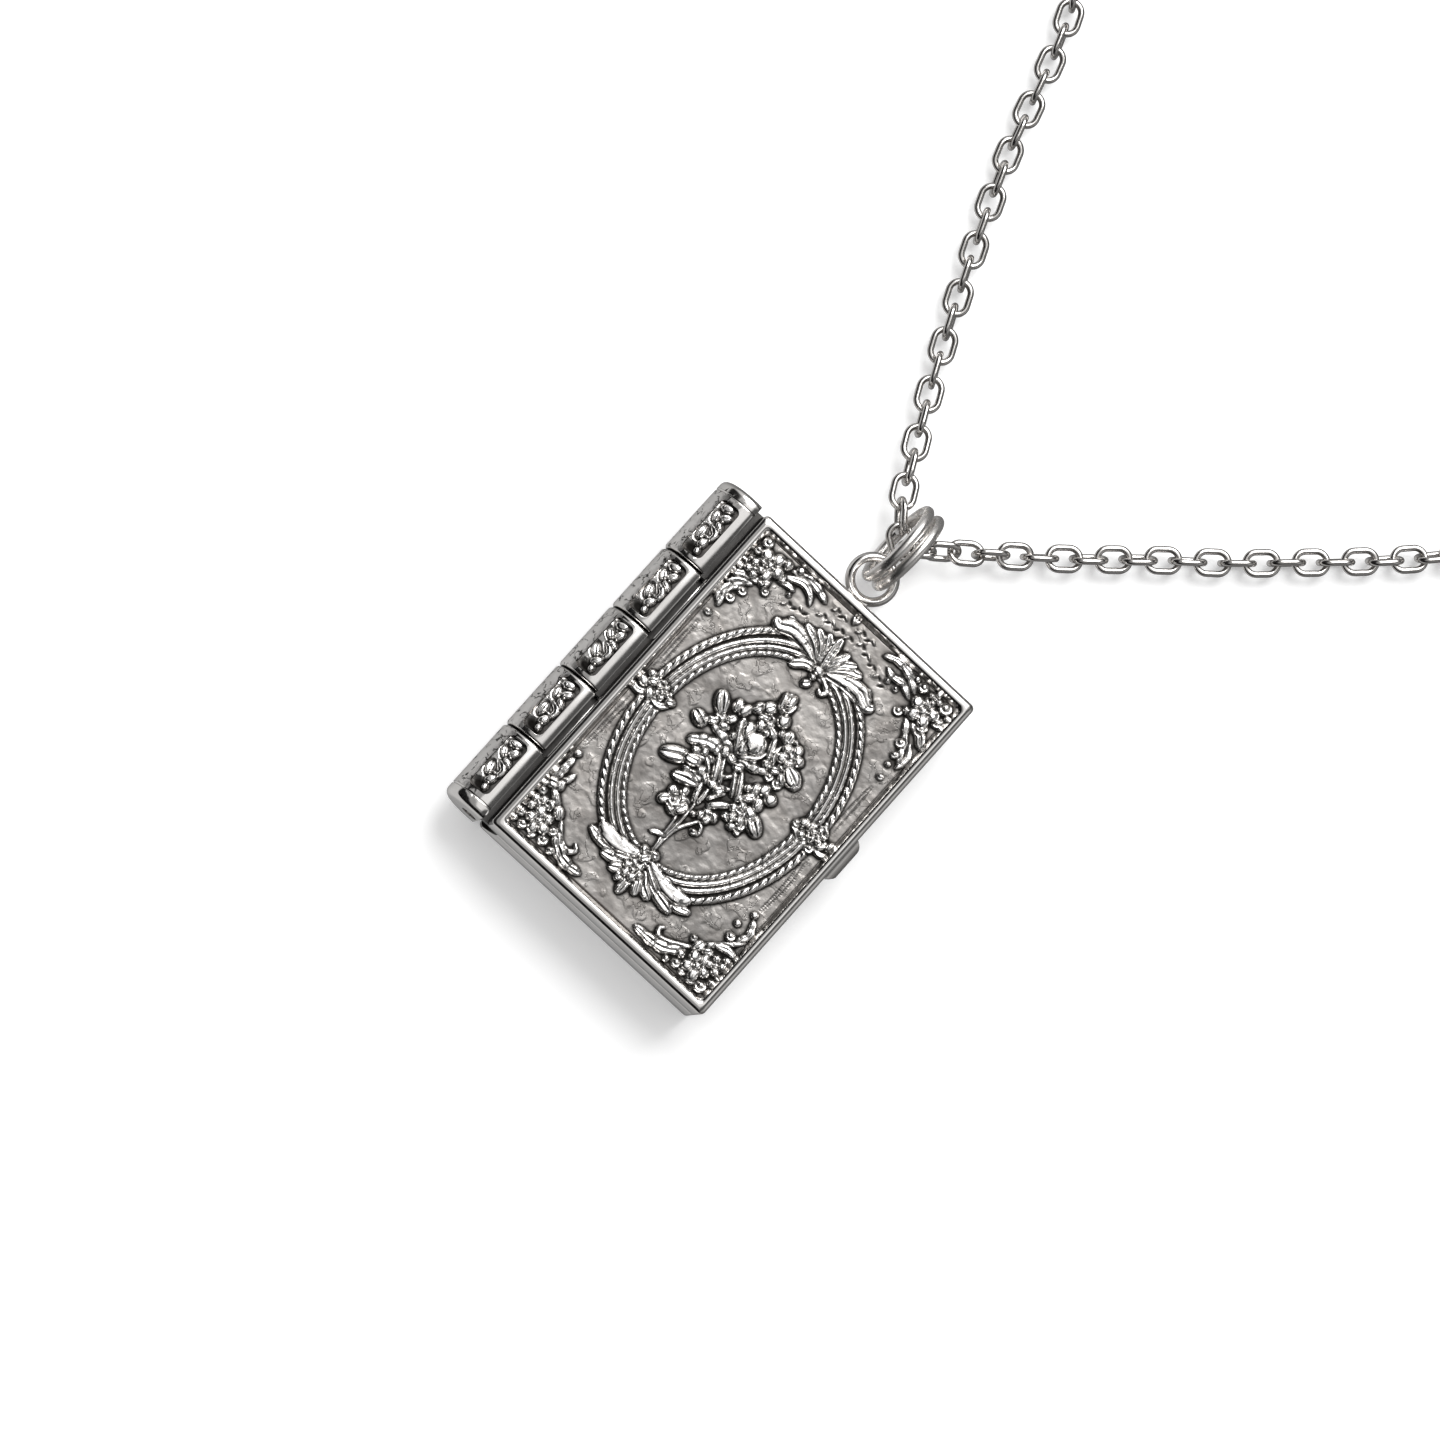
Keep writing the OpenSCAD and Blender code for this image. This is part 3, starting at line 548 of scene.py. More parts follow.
# Plump petals and buds: x, y, turn, length, width, height, crease
PETALS = [
    (-3.0, 1.95, 150, 1.2, 0.85, 0.42, 0.2), (-3.65, 2.75, 128, 1.9, 1.25, 0.46, 0.5),
    (-3.3, 1.3, 30, 1.0, 0.7, 0.42, 0.2), (-4.1, 0.8, 160, 1.5, 1.15, 0.44, 0.6),
    (-2.3, 2.3, 60, 1.0, 0.7, 0.42, 0.3), (-2.35, 1.55, 20, 0.9, 0.6, 0.40, 0.0),
    (-2.6, 3.35, 100, 1.15, 0.75, 0.44, 0.2), (-1.95, 3.45, 70, 1.25, 0.8, 0.46, 0.0),
    (-3.65, -2.3, 30, 2.5, 1.3, 0.46, 0.5), (-2.45, -1.75, 15, 1.5, 0.95, 0.47, 0.2),
    (3.3, 1.6, -40, 1.0, 0.8, 0.42, 0.2), (3.8, 2.1, -25, 1.85, 1.35, 0.48, 0.35),
    (3.95, -2.25, -33, 2.0, 1.25, 0.47, 0.45), (3.2, -1.75, -20, 1.1, 0.8, 0.44, 0.2),
    (2.35, -0.25, 100, 1.1, 0.75, 0.44, 0.2), (2.85, 0.15, 70, 1.05, 0.85, 0.46, 0.0),
    (3.65, -0.1, 30, 1.05, 0.95, 0.46, 0.0), (2.4, -1.0, 40, 1.0, 0.7, 0.44, 0.2),
    (3.2, -0.95, -60, 1.1, 0.85, 0.45, 0.2),
    (-1.35, 4.25, 70, 1.15, 0.85, 0.42, 0.4), (-0.75, 4.75, 60, 1.15, 1.05, 0.46, 0.1),
    (0.6, 4.75, 120, 1.15, 1.1, 0.47, 0.0), (1.65, 4.1, 100, 1.1, 0.95, 0.44, 0.4),
    (-0.05, 5.85, 90, 1.75, 1.35, 0.38, 0.0), (-0.4, 5.8, 104, 1.5, 0.5, 0.40, 0.0),
    (0.45, 5.65, 78, 1.2, 0.42, 0.40, 0.0), (0.12, 6.1, 88, 1.3, 0.72, 0.46, 0.0),
    (-1.35, -3.85, 90, 0.85, 0.7, 0.43, 0.0), (0.85, -3.85, 40, 0.9, 0.65, 0.42, 0.0),
    (1.45, -3.8, -50, 0.9, 0.65, 0.42, 0.0), (1.15, -4.3, 80, 0.8, 0.6, 0.40, 0.2),
    (0.55, -4.3, 120, 0.7, 0.5, 0.38, 0.0),
]

# Stems: points along the stem, width, height
STEMS = [
    ([(-0.2, -8.7), (-0.22, -7.4), (-0.05, -6.3), (0.4, -5.4), (0.95, -4.5), (1.2, -4.1)], 0.3, 0.28),
    ([(-0.35, -8.5), (-0.45, -7.2), (-0.6, -5.8), (-0.75, -5.1)], 0.24, 0.26),
    ([(-0.3, -7.2), (-0.2, -5.4), (-0.25, -3.6)], 0.26, 0.26),
    ([(0.9, -4.7), (1.3, -5.0), (1.35, -5.5), (1.0, -5.7)], 0.3, 0.28),
]

# The lattice of stems in the middle of the bouquet: points, width, height
LATTICE = [
    ([(0.7, -0.4), (0.1, -1.1), (-0.5, -1.3)], 0.36, 0.40),
    ([(1.35, -1.3), (0.6, -1.75), (0.0, -1.9)], 0.36, 0.40),
    ([(-0.75, -0.2), (-0.4, -0.95), (0.1, -1.6)], 0.4, 0.38),
    ([(0.3, -0.15), (0.8, -0.9), (1.35, -1.8)], 0.4, 0.40),
    ([(-1.25, -0.1), (-0.85, -0.95), (-0.3, -1.9)], 0.5, 0.44),
    ([(0.8, 0.0), (1.35, -0.85), (2.0, -1.95)], 0.5, 0.46),
    ([(0.9, -2.0), (0.5, -2.5), (0.2, -3.1)], 0.36, 0.40),
    ([(1.7, -2.4), (1.2, -2.8), (0.6, -3.4)], 0.6, 0.44),
    ([(-0.85, -2.5), (-0.7, -3.2), (-0.45, -3.9)], 0.42, 0.42),
    ([(-0.2, -2.5), (-0.15, -3.2), (-0.1, -3.8)], 0.34, 0.38),
    ([(-1.8, -1.0), (-1.3, -1.4), (-0.8, -2.0)], 0.4, 0.38),
]

# Thin engraved lines: points, width, height
RULES = [
    ([(-8.95, 1.1), (-8.95, 3.5), (-8.85, 5.9)], 0.15, -0.09),
    ([(-8.62, 1.1), (-8.65, 3.5), (-8.72, 5.9)], 0.15, -0.09),
    ([(-8.78, -1.2), (-8.9, -3.6), (-8.95, -6.0)], 0.15, -0.09),
    ([(-8.45, -1.2), (-8.62, -3.6), (-8.75, -6.0)], 0.15, -0.09),
    ([(8.27, 1.2), (8.25, 3.5), (8.4, 5.6)], 0.15, -0.09),
    ([(8.58, 1.2), (8.6, 3.5), (8.52, 5.6)], 0.15, -0.09),
    ([(8.2, -1.2), (8.42, -3.8), (8.35, -6.4)], 0.15, -0.09),
    ([(8.5, -1.2), (8.72, -3.8), (8.52, -6.4)], 0.15, -0.09),
]

# Sprigs of tiny leaves: from, to
SPRIGS = [((-2.2, 13.25), (-0.8, 13.2)), ((0.1, 13.25), (1.9, 13.25)), ((-2.8, 12.25), (0.5, 12.35)),
          ((0.8, 12.75), (4.3, 11.4)), ((-5.3, 11.0), (-3.2, 11.65))]

# Beads: x, y, radius, height, dimple
BEADS = [
    (0.05, 9.1, 0.4, 0.46, 0), (-0.05, 7.85, 0.36, 0.38, 0), (0.0, 8.5, 0.28, 0.38, 0),
    (-0.7, -8.85, 0.36, 0.42, 0), (0.1, -8.7, 0.38, 0.42, 0), (-0.3, -9.35, 0.42, 0.48, 0),
    (0.0, -9.75, 0.26, 0.42, 0),
    # Bouquet
    (-0.1, 4.2, 0.34, 0.38, 0), (-0.65, 3.95, 0.36, 0.40, 0), (0.05, 3.75, 0.36, 0.42, 0),
    (-0.45, 3.35, 0.34, 0.40, 0), (0.55, 3.55, 0.38, 0.42, 0), (0.15, 3.15, 0.33, 0.40, 0.4),
    (1.15, 4.0, 0.33, 0.38, 0), (2.3, 4.0, 0.34, 0.38, 0),
    (1.75, 1.6, 0.34, 0.38, 0), (2.45, 1.7, 0.36, 0.42, 0), (2.45, 1.05, 0.34, 0.40, 0.5),
    (3.25, 1.05, 0.42, 0.42, 0.7), (2.75, 2.25, 0.34, 0.40, 0),
    (2.75, -0.6, 0.33, 0.46, 0.5), (2.1, -1.5, 0.34, 0.38, 0), (1.9, -0.55, 0.33, 0.36, 0),
    (2.1, -3.1, 0.36, 0.40, 0), (2.8, -3.35, 0.36, 0.40, 0), (3.35, -2.95, 0.34, 0.38, 0),
    (-0.85, -2.1, 0.36, 0.42, 0), (-0.2, -2.1, 0.36, 0.44, 0), (0.4, -2.15, 0.36, 0.42, 0),
    (-1.5, -1.9, 0.34, 0.38, 0), (1.0, -5.55, 0.28, 0.34, 0.4),
    (0.15, -4.6, 0.24, 0.32, 0), (-2.2, -0.75, 0.33, 0.40, 0), (-1.4, 1.5, 0.33, 0.40, 0),
    (-0.4, 0.2, 0.36, 0.38, 0), (0.35, 0.05, 0.36, 0.38, 0),
    (0.8, 1.2, 0.33, 0.36, 0), (-1.1, 0.25, 0.34, 0.38, 0),
    # Top left corner
    (-8.75, 13.45, 0.42, 0.40, 0.2), (-6.75, 13.15, 0.44, 0.42, 0), (-5.7, 13.55, 0.3, 0.34, 0),
    (-8.95, 12.6, 0.32, 0.36, 0.4), (-8.85, 11.65, 0.46, 0.40, 0.6), (-8.2, 11.15, 0.4, 0.40, 0),
    (-7.1, 11.2, 0.46, 0.42, 0), (-6.6, 10.65, 0.32, 0.36, 0.4), (-6.3, 12.15, 0.3, 0.36, 0),
    (-5.2, 11.7, 0.22, 0.30, 0.4), (-7.85, 9.6, 0.36, 0.34, 0.4), (-8.2, 8.65, 0.38, 0.34, 0.4),
    (-8.72, 6.85, 0.3, 0.30, 0.3), (-9.25, 10.9, 0.3, 0.34, 0),
    # Top right corner
    (8.7, 13.35, 0.5, 0.40, 0.5), (6.5, 13.4, 0.4, 0.38, 0.2), (8.9, 12.2, 0.44, 0.40, 0.6),
    (8.35, 11.15, 0.4, 0.38, 0), (6.2, 10.9, 0.38, 0.36, 0.5), (6.75, 11.35, 0.34, 0.38, 0),
    (5.0, 11.95, 0.26, 0.30, 0.5), (4.2, 12.0, 0.24, 0.30, 0.3), (7.85, 9.3, 0.36, 0.36, 0.3),
    (8.1, 8.4, 0.3, 0.32, 0.3), (8.2, 7.6, 0.24, 0.30, 0), (8.4, 6.55, 0.28, 0.30, 0.3),
    (5.75, 13.55, 0.26, 0.32, 0), (9.3, 12.9, 0.28, 0.34, 0),
    # Bottom left corner
    (-8.75, -11.35, 0.44, 0.40, 0.4), (-7.9, -11.2, 0.42, 0.42, 0), (-7.0, -11.1, 0.44, 0.42, 0),
    (-9.2, -12.0, 0.34, 0.38, 0), (-9.1, -12.8, 0.36, 0.38, 0.2), (-9.25, -13.45, 0.3, 0.36, 0.2),
    (-8.45, -13.4, 0.38, 0.38, 0.3), (-7.5, -13.45, 0.34, 0.36, 0.3), (-6.6, -13.3, 0.42, 0.38, 0.3),
    (-5.7, -13.5, 0.3, 0.34, 0.3), (-6.5, -12.35, 0.4, 0.40, 0.2), (-8.75, -9.75, 0.46, 0.40, 0),
    (-9.3, -10.3, 0.34, 0.36, 0), (-8.2, -9.55, 0.34, 0.36, 0), (-8.95, -10.65, 0.32, 0.36, 0.2),
    (-8.8, -7.0, 0.3, 0.30, 0),
    # Bottom right corner
    (6.75, -11.35, 0.46, 0.42, 0), (6.1, -11.1, 0.3, 0.36, 0.4), (8.35, -11.3, 0.46, 0.40, 0.6),
    (7.55, -11.2, 0.38, 0.40, 0), (9.1, -11.9, 0.34, 0.38, 0.3), (8.75, -13.35, 0.46, 0.40, 0.5),
    (7.9, -13.45, 0.34, 0.38, 0), (7.1, -13.4, 0.34, 0.38, 0.3), (6.35, -13.3, 0.38, 0.38, 0.2),
    (5.6, -13.55, 0.26, 0.32, 0), (6.2, -12.6, 0.32, 0.36, 0), (9.2, -12.7, 0.32, 0.36, 0),
    (8.0, -9.25, 0.38, 0.38, 0.3), (7.75, -8.2, 0.3, 0.32, 0), (8.3, -6.95, 0.3, 0.30, 0),
    (9.0, -10.8, 0.32, 0.36, 0),
    # Side clusters
    (-9.45, 0.35, 0.36, 0.40, 0), (-8.85, 0.05, 0.38, 0.42, 0), (-8.25, 0.5, 0.4, 0.44, 0),
    (-7.65, 0.75, 0.34, 0.40, 0), (-7.5, 0.05, 0.42, 0.46, 0), (-6.85, 0.4, 0.36, 0.42, 0),
    (-6.35, 0.15, 0.36, 0.40, 0), (-8.7, 0.85, 0.3, 0.36, 0), (-7.95, -0.4, 0.36, 0.42, 0),
    (6.15, 0.0, 0.34, 0.38, 0.3), (6.55, 0.4, 0.36, 0.40, 0), (7.2, 0.45, 0.4, 0.44, 0),
    (8.05, 0.7, 0.48, 0.46, 0), (7.65, -0.1, 0.4, 0.46, 0), (8.5, 0.0, 0.4, 0.44, 0),
    (9.15, 0.3, 0.36, 0.40, 0), (9.45, -0.1, 0.28, 0.36, 0), (8.0, -0.8, 0.36, 0.38, 0.4),
    (6.9, -0.4, 0.3, 0.38, 0),
]

# The oval's rails, from the inside: radius across, radius along, width, height, strands, their slant
OVAL_MIDDLE = (-0.1, -0.15)
RAILS = [(6.68, 8.98, 0.42, 0.22, 76, 0.9), (7.10, 9.48, 0.40, 0.26, 0, 0), (7.54, 10.0, 0.42, 0.28, 0, 0),
         (8.15, 10.75, 0.54, 0.30, 88, 1.1)]

# The rose low in the bouquet: x, y, turn of each petal
ROSE = [(-1.0, -4.45, 20), (-1.95, -4.4, 140), (-2.15, -5.15, 50), (-1.25, -5.35, -20), (-0.75, -4.9, 70)]

# Painted shade on the ground under the bouquet's leaves: x, y, radius
BOUQUET_PAINTED_SHADE = [(-0.2, 1.2, 2.7), (0.2, -1.4, 2.5), (0.1, 3.2, 1.5), (-1.3, -4.6, 0.9)]

# The grid's step on the cover and in a window of the spine
COVER_STEP = 0.072
WINDOW_STEP = 0.05

# Flowers: x, y, radius, petals, turn
FLOWERS = [
    (2.7, 3.2, 1.0, 5, 10), (2.6, -2.35, 0.85, 5, 30),
    (-7.6, 12.3, 1.15, 5, 0), (-8.3, 11.4, 0.7, 4, 30), (7.6, 12.15, 1.15, 5, 20), (7.7, 13.4, 0.55, 4, 0),
    (-8.5, -11.6, 0.75, 5, 10), (-7.7, -12.45, 1.0, 5, 50),
    (7.6, -12.45, 1.05, 5, 0), (8.6, -11.5, 0.7, 4, 30),
    (-0.4, -10.5, 0.8, 6, 0), (-7.3, 0.3, 0.6, 5, 10), (7.9, 0.3, 0.6, 5, 30),
]


def cover_relief():
    """The front cover's ornament."""
    work = Relief(INNER_W, INNER_L, COVER_STEP)
    for rail in RAILS:
        work.oval(*OVAL_MIDDLE, *rail)
    for points, width, h in RULES:
        work.stroke(points, width, h, tip=0.7, swell=0.5)
    for (x0, y0), (x1, y1) in SPRIGS:
        work.stroke([(x0, y0), ((x0 + x1) / 2, (y0 + y1) / 2), (x1, y1)], 0.15, -0.08, tip=0.4, swell=0.5)
        count = round(math.hypot(x1 - x0, y1 - y0) / 0.4)
        for k in range(count):
            t = (k + 0.5) / count
            side = 1 if k % 2 else -1
            work.petal(x0 + (x1 - x0) * t, y0 + (y1 - y0) * t + 0.1 * side, -35 * side, 0.5, 0.19,
                       0.14 if k % 3 == 0 else -0.1, 0)
    for points, width, h in STEMS:
        work.stroke(points, width, h, tip=0.6, swell=0.3)
    # Paint shade on the ground under the bouquet
    for x, y, r in BOUQUET_PAINTED_SHADE:
        d = np.hypot(work.x[None, :] - x, work.y[:, None] - y) / r
        work.painted_shade = np.maximum(work.painted_shade, 0.8 * np.clip((1 - d) * 4, 0, 1))
    for points, width, h, vein in FANS:
        work.stroke(points, width, h, tip=0.1, swell=0.68, vein=vein)
    for points, width, h, vein, lobes in LEAVES:
        work.stroke(points, width, h, tip=0.1, swell=0.45, vein=vein, lobes=lobes)
    for points, width, h in LATTICE:
        work.stroke(points, width, h, tip=0.7, swell=0.5)
    for k, (x, y, r, h, dimple) in enumerate(BEADS):
        if r < 0.34 or dimple:
            work.bead(x, y, r, h, dimple)
        else:
            work.petal(x, y, 47 * k, 2.5 * r, 1.9 * r, h, 0.35 if k % 3 else 0)
    for x, y, r, petals, turn in FLOWERS:
        work.flower(x, y, r, petals, turn, 0.45)
    for form in PETALS:
        work.petal(*form)
    # The large bud in its middle
    work.stroke([(-1.6, 2.85), (-1.05, 1.9), (-0.3, 0.65)], 0.85, 0.42, vein=0.4)
    work.stroke([(1.15, 2.1), (0.8, 1.4), (-0.1, 0.65)], 0.5, 0.40)
    work.petal(-0.8, 2.55, 115, 1.5, 1.0, 0.45, 0.0)
    work.petal(-0.15, 1.55, 75, 1.7, 1.0, 0.44, 0.0)
    work.bead(0.2, 2.15, 0.86, 0.40)
    for x, y, turn in ROSE:
        work.petal(x, y, turn, 1.15, 0.85, 0.44, 0.3)
    work.bead(-1.5, -4.85, 0.42, 0.47, 0.7)
    # Fleur at the middle of the top edge
    for turn, length in ((65, 0.75), (90, 0.9), (115, 0.75)):
        a = math.radians(turn)
        work.petal(-0.35 + 0.35 * math.cos(a), 13.25 + 0.35 * math.sin(a), turn, length, 0.24, 0.26, 0.2)
    return work


# Front cover: a shell with a crested rim, a hollow behind and the odd knuckles of the spine

# The rim's profile, from its outer edge: distance in, height above the crest
RIM_PROFILE = [(0.0, -0.30), (0.05, -0.20), (0.14, -0.11), (0.26, -0.05), (0.40, -0.012), (0.52, 0.0),
               (0.62, -0.02), (0.70, -0.09), (0.80, -0.24), (0.92, -0.42), (1.0, -0.52), (1.0, -0.88)]


def cover_shell(name, z0, z1, rimmed):
    """A cover with round upright corners; a rimmed one has the crest round its upper face."""
    top = z1 + (RIM_PROFILE[0][1] if rimmed else 0)
    shell = box_piece(name, (-COVER_W / 2, -COVER_L / 2, z0), (COVER_W / 2, COVER_L / 2, top))
    edit("EDGE")
    pick(lambda at, way: abs(way.z) > 0.9, "edges")
    bpy.ops.mesh.bevel(offset=CORNER_R * MM, segments=6, affect="EDGES")
    seam_z = z0 if rimmed else z1
    pick(lambda at, way: abs(at.z - seam_z) < 0.01, "edges")
    bpy.ops.mesh.bevel(offset=SEAM_ROUND * MM, segments=3, affect="EDGES")
    if rimmed:
        bpy.ops.mesh.select_mode(type="FACE")
        pick(lambda at, normal: normal.z > 0.9)
        for (d0, h0), (d1, h1) in zip(RIM_PROFILE[:-1], RIM_PROFILE[1:]):
            bpy.ops.mesh.extrude_region_move(TRANSFORM_OT_translate={"value": (0, 0, (h1 - h0) * MM)})
            bpy.ops.transform.resize(
                value=((COVER_W - 2 * d1) / (COVER_W - 2 * d0), (COVER_L - 2 * d1) / (COVER_L - 2 * d0), 1),
                center_override=(0, 0, 0))
    done()
    return shell


def knuckle_ends(k):
    joints = [1.5 * KNUCKLE_PITCH - i * KNUCKLE_PITCH for i in range(4)]
    high = SPINE_L / 2 if k == 0 else joints[k - 1] - KNUCKLE_GAP / 2
    low = -SPINE_L / 2 if k == 4 else joints[k] + KNUCKLE_GAP / 2
    return low, high


def window_ends(k):
    low, high = knuckle_ends(k)
    return low + WINDOW_END + (BAND_L if k == 4 else 0), high - WINDOW_END - (BAND_L if k == 0 else 0)


def window_place(k):
    """The middle of a window's floor, turned towards the spine's outer side."""
    low, high = window_ends(k)
    turn = Matrix.Rotation(math.radians(-WINDOW_TURN), 4, "Y")
    return (Matrix.Translation((PIN_X, (low + high) / 2, PIN_Z)) @ turn
            @ Matrix.Translation((0, 0, SPINE_R - WINDOW_D)))


def knuckle(k):
    """One length of the spine's barrel, with a framed window across it."""
    low, high = knuckle_ends(k)
    bar = bar_along_pin(f"knuckle_{k + 1}", SPINE_R, low, high, sides=96)
    for end, outer in ((low, k == 4), (high, k == 0)):
        edit("EDGE")
        pick(lambda at, way: abs(at.y - end) < 0.01 and abs(way.y) < 0.1, "edges")
        bpy.ops.mesh.bevel(offset=(SPINE_ROUND if outer else KNUCKLE_ROUND) * MM, segments=5, affect="EDGES")
        done()
    cut(bar, box_piece("flat", (PIN_X + BARREL_FLAT, low - 1, -1), (PIN_X + 3, high + 1, THICK + 1)))
    w_low, w_high = window_ends(k)
    window = box_piece("window", (-WINDOW_W / 2, -(w_high - w_low) / 2, 0),
                       (WINDOW_W / 2, (w_high - w_low) / 2, 1.5))
    edit("EDGE")
    pick(lambda at, way: abs(way.z) > 0.9, "edges")
    bpy.ops.mesh.bevel(offset=WINDOW_ROUND * MM, segments=5, affect="EDGES")
    done()
    place = window_place(k)
    place.translation *= MM
    window.data.transform(place)
    cut(bar, window)
    if k in (0, 4):
        y = SPINE_L / 2 - BAND_L if k == 0 else -SPINE_L / 2 + BAND_L
        bpy.ops.mesh.primitive_torus_add(
            major_radius=(SPINE_R + 0.03) * MM, minor_radius=0.11 * MM, major_segments=96, minor_segments=12,
            location=(PIN_X * MM, y * MM, PIN_Z * MM), rotation=(math.pi / 2, 0, 0))
        cut(bar, keep_in_place("groove"))
    return bar


def web(k, side):
    """What joins a knuckle to its cover."""
    low, high = knuckle_ends(k)
    low, high = max(low + 0.03, -COVER_L / 2 + 0.03), min(high - 0.03, COVER_L / 2 - 0.03)
    z0 = PIN_Z + SEAM / 2 + 0.02 if side > 0 else PIN_Z - SEAM / 2 - 0.02 - BARREL_FLAT
    return box_piece("web", (PIN_X + BARREL_FLAT - 0.2, low, z0),
                     (PIN_X + BARREL_FLAT + CHANNEL_W + 0.2, high, z0 + BARREL_FLAT))


FINISHES = [SILVER, PAINTED_SHADE_SILVER, SATIN_SILVER, CHAIN_SILVER, INSIDE_SILVER]
HOLLOW_X = PIN_X + POCKET_R + WALL / 2
HOLLOW_TOP = FIELD_Z - PLATE_T - FLOOR_T


def finish_at(at, normal):
    """The finish of a cover's face, from its middle and direction; near-black painted shade for the spine's
    channel, the knuckles' joints and the pockets.
    """
    beside = PIN_X + BARREL_FLAT
    channel = beside - 0.06 < at.x < -COVER_W / 2 + 0.02 and 0.9 < at.z < THICK - 0.55
    joint = at.x < -COVER_W / 2 and abs(normal.y) > 0.9 and abs(at.y) < SPINE_L / 2 - 0.5 and at.z > 0.6
    inner = beside < at.x < PIN_X + POCKET_R - 0.02 and normal.x < -0.2 and at.z < THICK - 0.7
    inside = (HOLLOW_X - 0.03 < at.x < COVER_W / 2 - WALL + 0.03 and abs(at.y) < COVER_L / 2 - WALL + 0.03
              and FLOOR_T - 0.05 < at.z < HOLLOW_TOP + 0.05)
    outer = at.x < PIN_X - 1.2 and normal.x < -0.6 and abs(at.y) < SPINE_L / 2 - BAND_L - 0.1
    if at.x > COVER_W / 2 + 0.02:
        return CHAIN_SILVER
    # Faces in the channel, at the knuckles' joints and inside the pockets are painted dark as shade
    if channel or joint or inner:
        return PAINTED_SHADE_SILVER
    if inside:
        return INSIDE_SILVER
    return SATIN_SILVER if outer else SILVER


def finish_case(name, shell, own, others, side, body, node):
    """Pockets and a hollow in a cover, and its knuckles fused to it."""
    for k in others:
        low, high = knuckle_ends(k)
        cut(shell, bar_along_pin("pocket", POCKET_R, low - KNUCKLE_GAP / 2, high + KNUCKLE_GAP / 2,
                                 sides=64))
    z0, z1 = (-1, HOLLOW_TOP) if side > 0 else (FLOOR_T, THICK)
    cut(shell, box_piece("hollow", (HOLLOW_X, -COVER_L / 2 + WALL, z0),
                         (COVER_W / 2 - WALL, COVER_L / 2 - WALL, z1)))
    for k in own:
        fuse(shell, web(k, side))
        fuse(shell, knuckle(k))
    cut(shell, bar_along_pin("bore", BORE_R, -SPINE_L, SPINE_L, sides=40))
    soften(shell, SOFT_EDGE)
    shell.name = name
    shell.data.materials.clear()
    for finish in FINISHES:
        shell.data.materials.append(finish)
    for face in shell.data.polygons:
        face.material_index = FINISHES.index(finish_at(face.center / MM, face.normal))
    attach(shell, body)
    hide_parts(node)
    return shell


def thumb_catch():
    catch = box_piece("catch", (COVER_W / 2 - CATCH_ROOT, CATCH_Y - CATCH_HALF, CATCH_LOW),
                      (COVER_W / 2 + CATCH_OUT, CATCH_Y + CATCH_HALF, CATCH_HIGH))
    edit("EDGE")
    pick(lambda at, way: at.x > COVER_W / 2 + 0.5, "edges")
    bpy.ops.mesh.bevel(offset=CATCH_ROUND * MM, segments=10, affect="EDGES")
    done()
    return catch


def front_case():
    shell = cover_shell("front_shell", THICK - CASE_T, THICK, True)
    fuse(shell, thumb_catch())
    return finish_case("front_shell", shell, (0, 2, 4), (1, 3), 1, "front", "front_case")


def eyelet():
    """A round band, stretched to the eyelet's height; the back cover fuses its short foot."""
    bpy.ops.mesh.primitive_torus_add(
        major_radius=(EYELET_R - EYELET_WIRE) * MM, minor_radius=EYELET_WIRE * MM,
        major_segments=72, minor_segments=24,
        location=(EYELET_X * MM, EYELET_Y * MM, EYELET_Z * MM))
    ring = keep_in_place("eyelet")
    for vertex in ring.data.vertices:
        vertex.co.z = EYELET_Z * MM + (vertex.co.z - EYELET_Z * MM) * EYELET_H / 2 / EYELET_WIRE
    return ring


def back_case():
    shell = cover_shell("back_shell", 0, CASE_T, False)
    foot = box_piece("foot", (EYELET_X - 0.9, COVER_L / 2 - 0.5, EYELET_Z - 0.4),
                     (EYELET_X + 0.9, EYELET_Y - EYELET_R + 0.43, EYELET_Z + 0.4))
    fuse(shell, foot)
    fuse(shell, eyelet())
    return finish_case("back_shell", shell, (1, 3), (0, 2, 4), -1, "back", "back_case")


front_case()
back_case()

plate = cover_relief().piece("embossed_plate", Matrix.Translation((0, 0, FIELD_Z)), skirt=PLATE_T)
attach(plate, "front")
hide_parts("front_panel")


